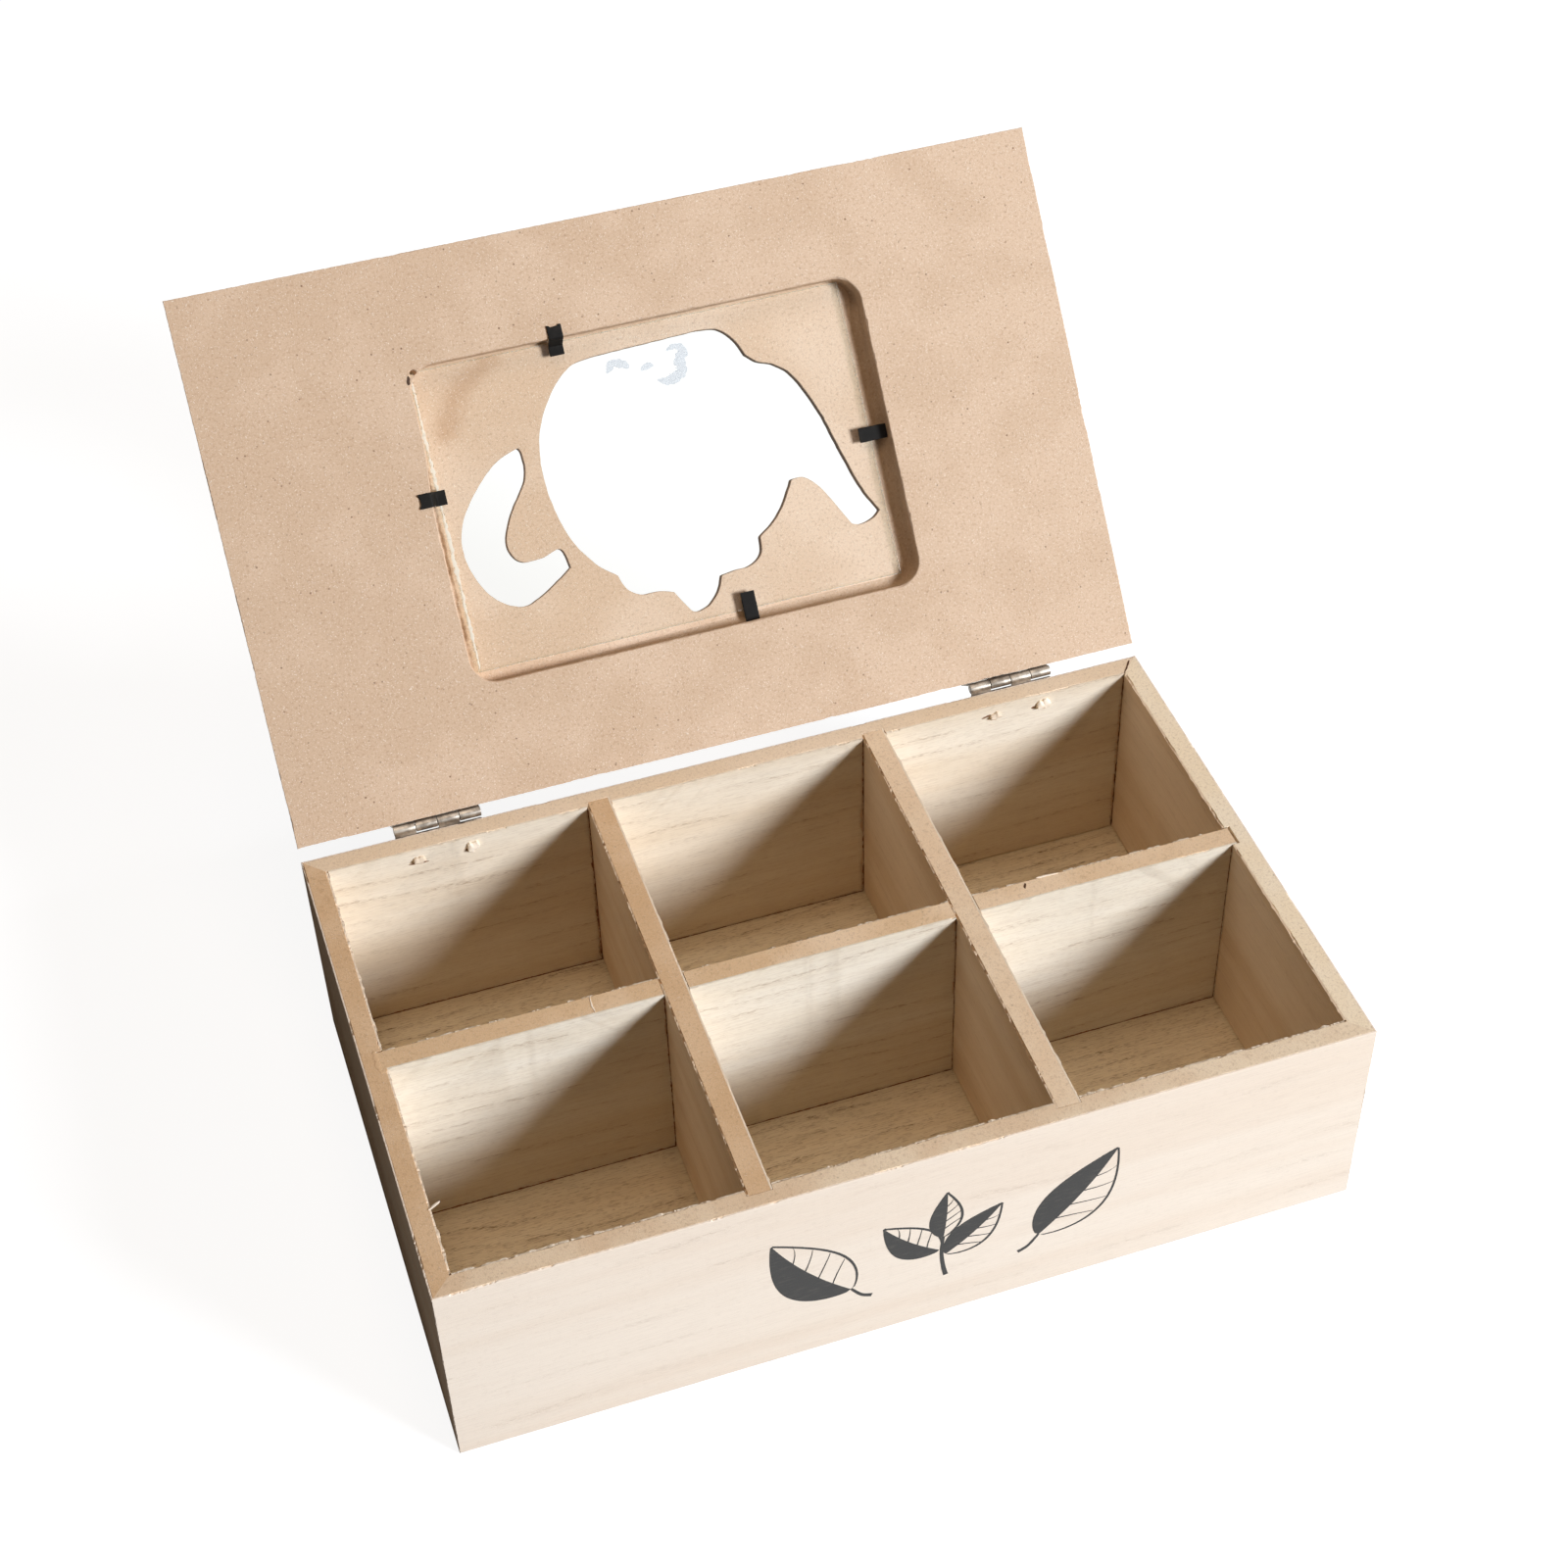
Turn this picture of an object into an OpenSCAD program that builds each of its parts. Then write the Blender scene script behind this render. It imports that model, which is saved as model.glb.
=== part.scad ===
// Six-compartment tea bag box with a hinged lid and a teapot-shaped window.
// The box stands on z = 0, centred on x = 0 and y = 0. Its front faces -y and the
// hinges run along x behind the back wall. Every lid piece is drawn with the lid shut
// and then swung about the hinge pins to lid_open.

/* [Box] */
// Outside width of the box, left to right
box_w = 240; // [200:5:290]
// Outside depth of the box, front to back
box_d = 148; // [122:2:180]
// Height of the four walls
box_h = 64; // [50:1:90]
// Thickness of the wall boards
wall_t = 6; // [5:0.5:8]
// Thickness of the base board
base_t = 3; // [2.5:0.5:4]

/* [Compartments] */
// Thickness of the divider boards
divider_t = 6.4; // [4:0.2:8]
// Clear width of the two middle compartments
middle_cell_w = 72.4; // [60:0.2:80]
// Depth of the grooves that hold the divider ends
groove_depth = 2; // [1.5:0.1:2.5]

/* [Lid] */
// Thickness of the lid board
lid_t = 9; // [8.5:0.5:12]
// How far the lid's front edge stands back from the box front
lid_setback = 1; // [0:0.5:2]
// Gap between the shut lid and the rim
lid_gap = 0.3; // [0.2:0.1:0.6]
// Angle that the lid stands open; 0 is shut
lid_open = 130; // [0:5:180]

/* [Window] */
// Width of the recess that holds the glass
window_w = 128; // [106:1:154]
// Depth of that recess, front to back
window_d = 86; // [76:1:92]
// Radius of the recess corners
window_corner_r = 7; // [4:0.5:7]
// How deep the recess goes into the lid's inner face
recess_depth = 6; // [5:0.5:6.5]
// Thickness of the glass pane
glass_t = 2; // [1.5:0.5:2.5]

/* [Hinges] */
// Distance from the box side to the middle of each hinge
hinge_inset = 37.6; // [24:0.2:50]
// Length of each hinge along the pin
hinge_w = 24; // [20:2:40]
// Height of each hinge leaf, measured from the pin
leaf_h = 7.6; // [7.2:0.1:7.8]
// Outer radius of the hinge knuckles
knuckle_r = 1.4; // [1.3:0.05:1.7]

/* [Hidden] */
$fn = 48;
eps = 0.01;

// Box
inner_w = box_w - 2 * wall_t;
inner_d = box_d - 2 * wall_t;
rabbet = wall_t / 2;
cross_x = (middle_cell_w + divider_t) / 2;

// Dividers: slots and grooves are a little wider than the boards that sit in them
board_play = 0.1;
end_play = 0.1;
right_end_play = 0.7;
divider_h = box_h - base_t;
lap_play = 0.15;

// Lid, drawn shut; the window is centred on the box
lid_d = box_d - lid_setback;
lid_z = box_h + lid_gap;
lid_front_y = lid_setback - box_d / 2;

// Glass: it is smaller than the recess and lies towards its front left corner
glass_slack = [7, 4];
glass_shift = [-1.1, -1.2];
glass_w = window_w - glass_slack.x;
glass_d = window_d - glass_slack.y;
glass_z = lid_z + recess_depth - glass_t;
glass_corner = glass_shift - [glass_w, glass_d] / 2;
relief_r = 1.9;
relief_shift = [-0.2, 1];

// The teapot outline is drawn for a recess of this size, and scaled with the recess
outline_recess = [128, 86];

// Glass clips: steel strip, bent over the recess edge or driven into the recess wall
clip_w = 4;
clip_t = 0.5;
clip_flange = 3.4;
clip_reach = 4.5;
clip_drop_run = 1.6;
clip_edge_play = 0.05;
clip_tail = 4;
clip_free = 8;
clip_drop = recess_depth - glass_t;
notch_r = 1.7;
notch_out = 0.9;
front_clip_x = -21.3;
left_clip_y = -8;
right_clip_y = 0.3;
back_clip_x = 15.1;

// Hinges
pin_r = 0.7;
pin_play = 0.05;
leaf_t = 0.8;
knuckle_count = 4;
knuckle_w = hinge_w / knuckle_count;
knuckle_play = 0.1;
knuckle_clear = 0.25;
barrel_gap = 0.3;
axis_out = knuckle_r + barrel_gap;
axis_rise = 1;
axis_y = box_d / 2 + axis_out;
axis_z = box_h + axis_rise;
hinge_x = box_w / 2 - hinge_inset;

// Screws
screw_r = 1;
screw_head_r = 1.8;
screw_l = 8;
screw_tip = 2;
screw_drop = 4.6;
screw_spread = 0.6;
screw_spacing = hinge_w * screw_spread;
recess_cut_w = 0.4;
recess_cut_l = 2.2;
recess_cut_t = 0.4;

// Colours
MDF = [0.80, 0.66, 0.50];
VENEER = [0.95, 0.89, 0.80];
FLOOR = [0.66, 0.55, 0.42];
STEEL = [0.80, 0.78, 0.74];
BLACK = [0.10, 0.10, 0.11];
GLASS = [0.85, 0.93, 0.90, 0.35];

// A smooth curve through a list of points, with steps pieces between each pair
function bend(p0, p1, p2, p3, t) =
    0.5 * (2 * p1 + (p2 - p0) * t
        + (2 * p0 - 5 * p1 + 4 * p2 - p3) * t * t
        + (3 * p1 - p0 - 3 * p2 + p3) * t * t * t);

function smooth(points, steps = 5) =
    let (last = len(points) - 1)
    [
        for (i = [0 : last - 1], k = [0 : steps - 1])
            bend(points[max(i - 1, 0)], points[i], points[i + 1], points[min(i + 2, last)], k / steps)
    ];

// Teapot outline in strokes that meet at its corners
belly_and_foot = [
    [-18.4, 22.8], [-24, 18], [-29.5, 8.5], [-32.2, -6],
    [-30.6, -19], [-25, -29], [-18.6, -34.9], [-12, -36.4]
];
foot_end = [[18.5, -37.4], [24, -36.4], [28, -32.5], [30, -28.2]];
spout_under = [
    [30, -28.2], [32.8, -25.8], [37.6, -23.8], [42, -19.6],
    [47, -9], [50.2, 2], [54, 14], [57.8, 21.4]
];
spout_mouth = [[57.8, 21.4], [55.4, 23.2], [51.5, 24], [49.2, 23.4]];
spout_over = [[49.2, 23.4], [45.8, 17.2], [42.4, 11.4], [38.6, 7.9], [35, 7.8]];
shoulder = [[35, 7.8], [31.4, 13.6], [27.6, 17.8], [22.8, 21.2]];
pot_lid_right = [[22.8, 21.2], [22, 25.6], [18.6, 28.2], [13.6, 28.6], [9.8, 29.2]];
knob = [[9.8, 29.2], [7.6, 33.6], [4, 36.6], [0, 37.1], [-2, 34.4], [-4.2, 30.6]];
pot_lid_left = [[-4.2, 30.6], [-8, 29.5], [-13.4, 29.2], [-17, 26.6], [-18.4, 22.8]];
handle_outer = [
    [-37.4, -16.7], [-44.6, -13.7], [-52.4, -6.2], [-57.2, 1.6], [-57.8, 10.6],
    [-53.6, 20.4], [-46, 25.2], [-38.8, 22.9], [-30.6, 17.8]
];
handle_inner = [
    [-30.6, 17.8], [-32.2, 12.4], [-38, 13.7], [-43.8, 13.2], [-46.2, 8],
    [-43.4, 0.6], [-37.4, -8], [-36.6, -14.6], [-37.4, -16.7]
];

module teapot_body_outline() {
    polygon(concat(
        smooth(belly_and_foot), [belly_and_foot[7]], smooth(foot_end), smooth(spout_under),
        smooth(spout_mouth), smooth(spout_over), smooth(shoulder), smooth(pot_lid_right),
        smooth(knob), smooth(pot_lid_left)
    ));
}

module teapot_handle_outline() {
    polygon(concat(smooth(handle_outer), smooth(handle_inner)));
}

module rounded_rect(w, d, r) {
    square([w - 2 * r, d], center = true);
    square([w, d - 2 * r], center = true);
    for (sx = [-1, 1], sy = [-1, 1])
        translate([sx * (w / 2 - r), sy * (d / 2 - r)])
            circle(r);
}

// ---- Walls and base ------------------------------------------------------------

// A board with 45 degree mitres, lying along x with its outer face at y = 0
module mitred_board(length) {
    linear_extrude(box_h)
        polygon([
            [-length / 2, 0], [length / 2, 0],
            [length / 2 - wall_t, wall_t], [wall_t - length / 2, wall_t]
        ]);
}

module base_block() {
    translate([-inner_w / 2 - rabbet, -inner_d / 2 - rabbet, 0])
        cube([inner_w + 2 * rabbet, inner_d + 2 * rabbet, base_t]);
}

// The volume taken out of the walls for the ends of both cross dividers
module cross_grooves() {
    groove_w = divider_t + 2 * board_play;
    for (side = [-1, 1])
        translate([side * cross_x - groove_w / 2, -inner_d / 2 - groove_depth, base_t])
            cube([groove_w, inner_d + 2 * groove_depth, box_h]);
}

// The volume taken out of the side walls for the ends of the long divider
module long_grooves() {
    groove_w = divider_t + 2 * board_play;
    translate([-inner_w / 2 - groove_depth, -groove_w / 2, base_t])
        cube([inner_w + 2 * groove_depth, groove_w, box_h]);
}

module front_wall() {
    color(VENEER)
        difference() {
            translate([0, -box_d / 2, 0])
                mitred_board(box_w);
            base_block();
            cross_grooves();
        }
}

module back_wall() {
    color(VENEER)
        difference() {
            rotate([0, 0, 180])
                translate([0, -box_d / 2, 0])
                    mitred_board(box_w);
            base_block();
            cross_grooves();
            for (side = [-1, 1])
                box_screw_bores(side);
        }
}

module left_wall() {
    color(VENEER)
        difference() {
            rotate([0, 0, -90])
                translate([0, -box_w / 2, 0])
                    mitred_board(box_d);
            base_block();
            long_grooves();
        }
}

module right_wall() {
    color(VENEER)
        difference() {
            rotate([0, 0, 90])
                translate([0, -box_w / 2, 0])
                    mitred_board(box_d);
            base_block();
            long_grooves();
        }
}

module base_panel() {
    color(FLOOR)
        base_block();
}

// ---- Dividers: half-lapped where they cross --------------------------------------

module long_divider() {
    left_end = -inner_w / 2 - groove_depth + end_play;
    right_end = inner_w / 2 + groove_depth - right_end_play;
    color(MDF)
        difference() {
            translate([left_end, -divider_t / 2, base_t])
                cube([right_end - left_end, divider_t, divider_h]);
            for (side = [-1, 1])
                translate([side * cross_x - divider_t / 2 - lap_play, -divider_t, base_t + divider_h / 2])
                    cube([divider_t + 2 * lap_play, 2 * divider_t, divider_h]);
        }
}

module cross_divider(side) {
    length = inner_d + 2 * (groove_depth - end_play);
    color(MDF)
        difference() {
            translate([side * cross_x - divider_t / 2, -length / 2, base_t])
                cube([divider_t, length, divider_h]);
            translate([side * cross_x - divider_t, -divider_t / 2 - lap_play, 0])
                cube([2 * divider_t, divider_t + 2 * lap_play, base_t + divider_h / 2]);
        }
}

module left_cross_divider() {
    cross_divider(-1);
}

module right_cross_divider() {
    cross_divider(1);
}

// ---- Lid --------------------------------------------------------------------------

// Swings lid pieces about the hinge pins, from shut to lid_open
module swung() {
    translate([0, axis_y, axis_z])
        rotate([-lid_open, 0, 0])
            translate([0, -axis_y, -axis_z])
                children();
}

module teapot_cut() {
    fit = min(window_w / outline_recess.x, window_d / outline_recess.y);
    translate([0, 0, lid_z])
        linear_extrude(lid_t + 1)
            scale(fit) {
                teapot_body_outline();
                teapot_handle_outline();
            }
}

module recess() {
    translate([0, 0, lid_z - 1])
        linear_extrude(recess_depth + 1)
            rounded_rect(window_w, window_d, window_corner_r);
}

// A drilled relief lets the square corner of the glass into the rounded recess
module corner_relief() {
    centre = glass_corner + relief_shift;
    translate([centre.x, centre.y, lid_z - 1])
        cylinder(h = recess_depth + 1, r = relief_r);
}

module lid_panel() {
    color(MDF)
        swung()
            difference() {
                translate([-box_w / 2, lid_front_y, lid_z])
                    cube([box_w, lid_d, lid_t]);
                recess();
                teapot_cut();
                corner_relief();
                right_clip_place()
                    strip_blank();
                back_clip_place()
                    strip_blank();
                for (side = [-1, 1])
                    lid_screw_bores(side);
            }
}

module window_glass() {
    color(GLASS)
        swung()
            translate([glass_corner.x, glass_corner.y, glass_z])
                cube([glass_w, glass_d, glass_t]);
}

// Both kinds of clip are drawn with the recess edge on the y axis, the lid's inner
// face on z = 0 and the glass towards +x.

// The round bite out of the outer end of a strip, at x = end, that leaves two barbs
module end_notch(end) {
    translate([end - notch_out, 0, -clip_t - 1])
        cylinder(h = recess_depth + 2, r = notch_r);
}

// A strip bent over the recess edge, with its flange on the lid and its foot on the glass
module bent_strip() {
    knee = clip_edge_play + clip_t / 2;
    difference() {
        rotate([90, 0, 0])
            linear_extrude(clip_w, center = true)
                polygon([
                    [-clip_flange, -clip_t], [knee, -clip_t],
                    [clip_drop_run + knee, clip_drop - clip_t], [clip_reach, clip_drop - clip_t],
                    [clip_reach, clip_drop], [clip_drop_run, clip_drop],
                    [clip_edge_play, 0], [-clip_flange, 0]
                ]);
        end_notch(-clip_flange);
    }
}

module strip_blank() {
    translate([-clip_tail, -clip_w / 2, clip_drop - clip_t])
        cube([clip_tail + clip_free, clip_w, clip_t]);
}

// A flat strip driven into the recess wall and lying on the glass
module driven_strip() {
    difference() {
        strip_blank();
        end_notch(-clip_tail);
    }
}

module front_clip_place() {
    translate([front_clip_x, -window_d / 2, lid_z])
        rotate([0, 0, 90])
            children();
}

module left_clip_place() {
    translate([-window_w / 2, left_clip_y, lid_z])
        children();
}

module right_clip_place() {
    translate([window_w / 2, right_clip_y, lid_z])
        rotate([0, 0, 180])
            children();
}

module back_clip_place() {
    translate([back_clip_x, window_d / 2, lid_z])
        rotate([0, 0, -90])
            children();
}

module front_glass_clip() {
    color(BLACK)
        swung()
            front_clip_place()
                bent_strip();
}

module left_glass_clip() {
    color(BLACK)
        swung()
            left_clip_place()
                bent_strip();
}

module right_glass_clip() {
    color(BLACK)
        swung()
            right_clip_place()
                driven_strip();
}

module back_glass_clip() {
    color(BLACK)
        swung()
            back_clip_place()
                driven_strip();
}

// ---- Hinges -----------------------------------------------------------------------

// One leaf with every second knuckle, around a pin on the x axis. The leaf hangs down
// from the pin with its back on y = -axis_out. first is the number of its first knuckle.
module hinge_leaf(first, bore_r) {
    knuckle_l = knuckle_w - knuckle_play;
    plate_top = -(knuckle_r + knuckle_clear);
    difference() {
        union() {
            translate([-hinge_w / 2, -axis_out, -leaf_h])
                cube([hinge_w, leaf_t, leaf_h + plate_top]);
            for (i = [first : 2 : knuckle_count - 1])
                translate([i * knuckle_w - hinge_w / 2 + knuckle_play / 2, 0, 0]) {
                    translate([0, -knuckle_r, plate_top - eps])
                        cube([knuckle_l, leaf_t - barrel_gap, eps - plate_top]);
                    rotate([0, 90, 0])
                        cylinder(h = knuckle_l, r = knuckle_r);
                }
        }
        translate([-hinge_w, 0, 0])
            rotate([0, 90, 0])
                cylinder(h = 2 * hinge_w, r = bore_r);
        for (end = [-1, 1])
            translate([end * screw_spacing / 2, -axis_out, -screw_drop])
                countersink();
    }
}

// The hole for one screw through a leaf whose back lies on y = 0
module countersink() {
    translate([0, leaf_t, 0])
        rotate([90, 0, 0]) {
            translate([0, 0, -eps])
                cylinder(h = leaf_t + 2 * eps, r1 = screw_head_r, r2 = screw_r);
            cylinder(h = 2 * leaf_t, r = screw_r);
        }
}

// A small countersunk screw, driven towards -y, with its head flush with y = 0
module screw() {
    rotate([90, 0, 0])
        difference() {
            union() {
                cylinder(h = leaf_t, r1 = screw_head_r, r2 = screw_r);
                cylinder(h = screw_l - screw_tip, r = screw_r);
                translate([0, 0, screw_l - screw_tip])
                    cylinder(h = screw_tip, r1 = screw_r, r2 = 0);
            }
            for (turn = [0, 90])
                rotate([0, 0, turn])
                    translate([-recess_cut_l / 2, -recess_cut_w / 2, -eps])
                        cube([recess_cut_l, recess_cut_w, recess_cut_t]);
        }
}

module at_hinge(side) {
    translate([side * hinge_x, axis_y, axis_z])
        children();
}

// Screw places on one hinge; up is 1 for the lid's leaf and -1 for the box's leaf
module at_screws(side, up) {
    for (end = [-1, 1])
        at_hinge(side)
            translate([end * screw_spacing / 2, leaf_t - axis_out, up * screw_drop])
                children();
}

module pilot_bore() {
    rotate([90, 0, 0]) {
        cylinder(h = screw_l - screw_tip, r = screw_r);
        translate([0, 0, screw_l - screw_tip])
            cylinder(h = screw_tip, r1 = screw_r, r2 = 0);
    }
}

module box_screw_bores(side) {
    at_screws(side, -1)
        pilot_bore();
}

module lid_screw_bores(side) {
    at_screws(side, 1)
        pilot_bore();
}

module box_leaf(side) {
    color(STEEL)
        at_hinge(side)
            hinge_leaf(0, pin_r);
}

module lid_leaf(side) {
    color(STEEL)
        swung()
            at_hinge(side)
                mirror([0, 0, 1])
                    hinge_leaf(1, pin_r + pin_play);
}

module hinge_pin(side) {
    color(STEEL)
        at_hinge(side)
            rotate([0, 90, 0])
                translate([0, 0, -hinge_w / 2])
                    cylinder(h = hinge_w, r = pin_r);
}

module box_screws(side) {
    color(STEEL)
        at_screws(side, -1)
            screw();
}

module lid_screws(side) {
    color(STEEL)
        swung()
            at_screws(side, 1)
                screw();
}

front_wall();
back_wall();
left_wall();
right_wall();
base_panel();
long_divider();
left_cross_divider();
right_cross_divider();
lid_panel();
window_glass();
front_glass_clip();
left_glass_clip();
right_glass_clip();
back_glass_clip();
box_leaf(-1);  // left_hinge_box_leaf
lid_leaf(-1);  // left_hinge_lid_leaf
hinge_pin(-1);  // left_hinge_pin
box_leaf(1);  // right_hinge_box_leaf
lid_leaf(1);  // right_hinge_lid_leaf
hinge_pin(1);  // right_hinge_pin
box_screws(-1);  // left_hinge_box_screws
lid_screws(-1);  // left_hinge_lid_screws
box_screws(1);  // right_hinge_box_screws
lid_screws(1);  // right_hinge_lid_screws
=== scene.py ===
"""Looks of a tea bag box: six lined compartments under a hinged lid with a glazed window.

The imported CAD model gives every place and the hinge. Each class below builds one
sub-assembly from arrays, in metres and in the CAD model's own frame, and dresses it.
Lid pieces are worked out as they lie with the lid shut and then swung open.
"""

import logging
import math
from dataclasses import dataclass, field, replace
from enum import Enum
from typing import Callable, Optional, Protocol, Sequence

import bmesh
import bpy
import numpy as np
from mathutils import Matrix, Vector
from mathutils.geometry import delaunay_2d_cdt


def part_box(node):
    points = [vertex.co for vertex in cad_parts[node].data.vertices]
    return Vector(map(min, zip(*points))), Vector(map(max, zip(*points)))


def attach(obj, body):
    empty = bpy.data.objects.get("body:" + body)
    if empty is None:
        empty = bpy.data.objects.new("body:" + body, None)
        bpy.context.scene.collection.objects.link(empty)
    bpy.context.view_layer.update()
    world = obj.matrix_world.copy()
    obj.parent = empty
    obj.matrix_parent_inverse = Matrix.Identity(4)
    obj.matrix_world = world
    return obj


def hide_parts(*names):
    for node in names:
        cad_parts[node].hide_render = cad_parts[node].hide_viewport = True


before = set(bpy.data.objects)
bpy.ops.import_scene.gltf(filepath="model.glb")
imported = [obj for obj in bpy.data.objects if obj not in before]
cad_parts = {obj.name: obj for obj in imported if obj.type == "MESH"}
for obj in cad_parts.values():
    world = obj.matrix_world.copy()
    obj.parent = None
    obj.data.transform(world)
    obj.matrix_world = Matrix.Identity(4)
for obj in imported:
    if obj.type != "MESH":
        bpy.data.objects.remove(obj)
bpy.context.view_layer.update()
LOG = logging.getLogger("tea_box")

Array = np.ndarray
Colour = tuple[float, float, float]
Placer = Callable[[Array, Array], Array]
Point = tuple[float, float]
Rows = Sequence[tuple["Array | float", "Array | float"]]
Socket = bpy.types.NodeSocket

# Where the hinge pins lie, and how high the lid's inner face and the glass lie when it is shut
PIN_Y, PIN_Z = 0.0757, 0.065
LID_FACE = 0.0643
GLASS_FACE = 0.0683


# ---- Arrays: noise, worn edges and outlines ----------------------------------------


def value_noise(at: Array, step: float, seed: int) -> Array:
    """Gives smooth random levels along a line.

    Random levels from -1 to 1 stand at whole multiples of step, and the smooth step
    3f^2 - 2f^3 joins each to the next.

    Args:
        at: Distances along the line.
        step: Distance between two random levels.
        seed: Picks the row of levels.

    Returns:
        A level from -1 to 1 for each distance.
    """
    size = 4096
    levels = np.random.default_rng(seed).uniform(-1, 1, size)
    whole = np.floor(at / step).astype(int)
    part = at / step - whole
    part = part * part * (3 - 2 * part)
    return levels[whole % size] * (1 - part) + levels[(whole + 1) % size] * part


def xyz(x: "Array | float", y: "Array | float", z: "Array | float") -> Array:
    """Joins three coordinates, each an array or one number, into points in space."""
    return np.stack(np.broadcast_arrays(x, y, z), -1)


def distances(line: Array) -> Array:
    """Gives the distance of each point of a line from its first point, along the line."""
    return np.concatenate([[0], np.cumsum(np.linalg.norm(np.diff(line, axis=0), axis=1))])


def leftward(line: Array) -> Array:
    """Gives the unit vector to the left of a flat line at each of its points."""
    tangent = np.gradient(line, axis=0)
    tangent /= np.linalg.norm(tangent, axis=1)[:, None]
    return np.stack([-tangent[:, 1], tangent[:, 0]], 1)


def rectangle(left: float, low: float, right: float, high: float) -> list[Point]:
    """Gives the corners of a rectangle, anticlockwise from the lower left."""
    return [(left, low), (right, low), (right, high), (left, high)]


@dataclass(frozen=True)
class EdgeWear:
    """How a sawn edge is broken: a fine roughness everywhere, and scattered bites."""

    fine: float
    bite: float = 0.0
    pitch: float = 0.006
    share: float = 0.35
    seed: int = 0

    def depth(self, along: Array) -> Array:
        """Gives how far the edge is broken back.

        The fine part is noise between 0 and fine. A slow noise opens a bite where it
        passes 1 - 2 * share, and two fast noises make the bite's floor ragged.

        Args:
            along: Distances along the edge.

        Returns:
            A depth for each distance.
        """
        grit = value_noise(along, 0.00045, self.seed + 1)
        rag = value_noise(along, 0.0009, self.seed + 2)
        slow = value_noise(along, self.pitch / 2, self.seed + 3)
        opened = np.clip((slow - (1 - 2 * self.share)) / 0.05, 0, 1)
        floor = 0.55 + 0.3 * rag + 0.15 * grit
        return self.fine * (0.5 + 0.5 * grit) + self.bite * opened * floor


def four_wears(fine: float, bite: float, pitch: float, share: float, seed: int) -> list[EdgeWear]:
    """Gives one wear for each side of a rectangle, alike but for their seeds."""
    return [EdgeWear(fine, bite, pitch, share, seed + side) for side in range(4)]


@dataclass(frozen=True)
class Outline:
    """A closed curve on a flat face, anticlockwise, with the way straight out at each point."""

    points: Array
    outward: Array

    @classmethod
    def polygon(
        cls,
        corners: Sequence[Point],
        step: float,
        wear: Sequence[Optional[EdgeWear]] = (),
        easing: float = 0.0012,
    ) -> "Outline":
        """Makes the outline of a flat piece with straight sides.

        Each side is cut into equal steps. A corner's way out is the sum of its sides'
        ways out over one plus their dot product, so an inset keeps the sides parallel.
        Next to a corner the way out turns evenly to the side's own, and the wear, which
        moves a side in by its depth, fades out.

        Args:
            corners: The corners, anticlockwise.
            step: The distance between two points.
            wear: For each side, from its first corner, how it is broken, or None.
            easing: How far from a corner the way out still turns, on a long side.

        Returns:
            The outline.
        """
        spots = np.asarray(corners, float)
        sides = np.roll(spots, -1, axis=0) - spots
        lengths = np.linalg.norm(sides, axis=1)
        normals = np.stack([sides[:, 1], -sides[:, 0]], 1) / lengths[:, None]
        before = np.roll(normals, 1, axis=0)
        mitres = (normals + before) / (1 + (normals * before).sum(1))[:, None]
        ahead = np.roll(mitres, -1, axis=0)
        points, outward = [], []
        for number, (spot, side, length) in enumerate(zip(spots, sides, lengths)):
            parts = max(1, round(length / step))
            share = np.arange(parts) / parts
            along = share * length
            ease = min(easing, length / 2.5)
            near = np.clip(1 - along / ease, 0, 1)[:, None]
            far = np.clip(1 - (length - along) / ease, 0, 1)[:, None]
            line = spot + share[:, None] * side
            worn = wear[number] if number < len(wear) else None
            if worn is not None:
                fade = 1 - np.maximum(near, far)[:, 0]
                line = line - normals[number] * (worn.depth(along + 0.31 * number) * fade)[:, None]
            points.append(line)
            outward.append(normals[number] * (1 - near - far) + mitres[number] * near + ahead[number] * far)
        return cls(np.concatenate(points), np.concatenate(outward))

    @classmethod
    def curve(cls, spots: Array, step: float) -> "Outline":
        """Makes an outline from a closed curve, with points at equal distances.

        The way out is the tangent, from the point before to the point after, turned
        clockwise by a right angle.

        Args:
            spots: Points on the curve, in either sense.
            step: The distance between two points.

        Returns:
            The outline.
        """
        x, y = spots.T
        if (x * np.roll(y, -1) - np.roll(x, -1) * y).sum() < 0:
            spots = spots[::-1]
        ring = np.concatenate([spots, spots[:1]])
        run = distances(ring)
        at = np.linspace(0, run[-1], max(8, round(run[-1] / step)), endpoint=False)
        even = np.stack([np.interp(at, run, ring[:, 0]), np.interp(at, run, ring[:, 1])], 1)
        tangent = np.roll(even, -1, axis=0) - np.roll(even, 1, axis=0)
        tangent /= np.linalg.norm(tangent, axis=1)[:, None]
        return cls(even, np.stack([tangent[:, 1], -tangent[:, 0]], 1))

    def along(self) -> Array:
        """The distance of each point from the first, along the curve."""
        return distances(self.points)

    def moved_in(self, by: "Array | float") -> "Outline":
        """The same curve with each point moved in by a distance, or out if it is negative."""
        inset = np.broadcast_to(np.asarray(by, float), len(self.points))
        return replace(self, points=self.points - self.outward * inset[:, None])


def rounded_rectangle(width: float, depth: float, radius: float) -> Array:
    """Gives points on a rectangle with round corners, centred on the origin.

    Each corner is a quarter circle about a centre that lies one radius in from both sides.

    Args:
        width: Size along the first axis.
        depth: Size along the second axis.
        radius: Radius of the corners.

    Returns:
        The points, anticlockwise.
    """
    turn = np.linspace(0, math.pi / 2, 24)
    quarters = np.arange(4)[:, None] * math.pi / 2 + turn[None]
    signs = np.array([[1, 1], [-1, 1], [-1, -1], [1, -1]], float)
    centres = signs * [width / 2 - radius, depth / 2 - radius]
    ring = np.stack([np.cos(quarters), np.sin(quarters)], -1) * radius + centres[:, None]
    return ring.reshape(-1, 2)


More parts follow.
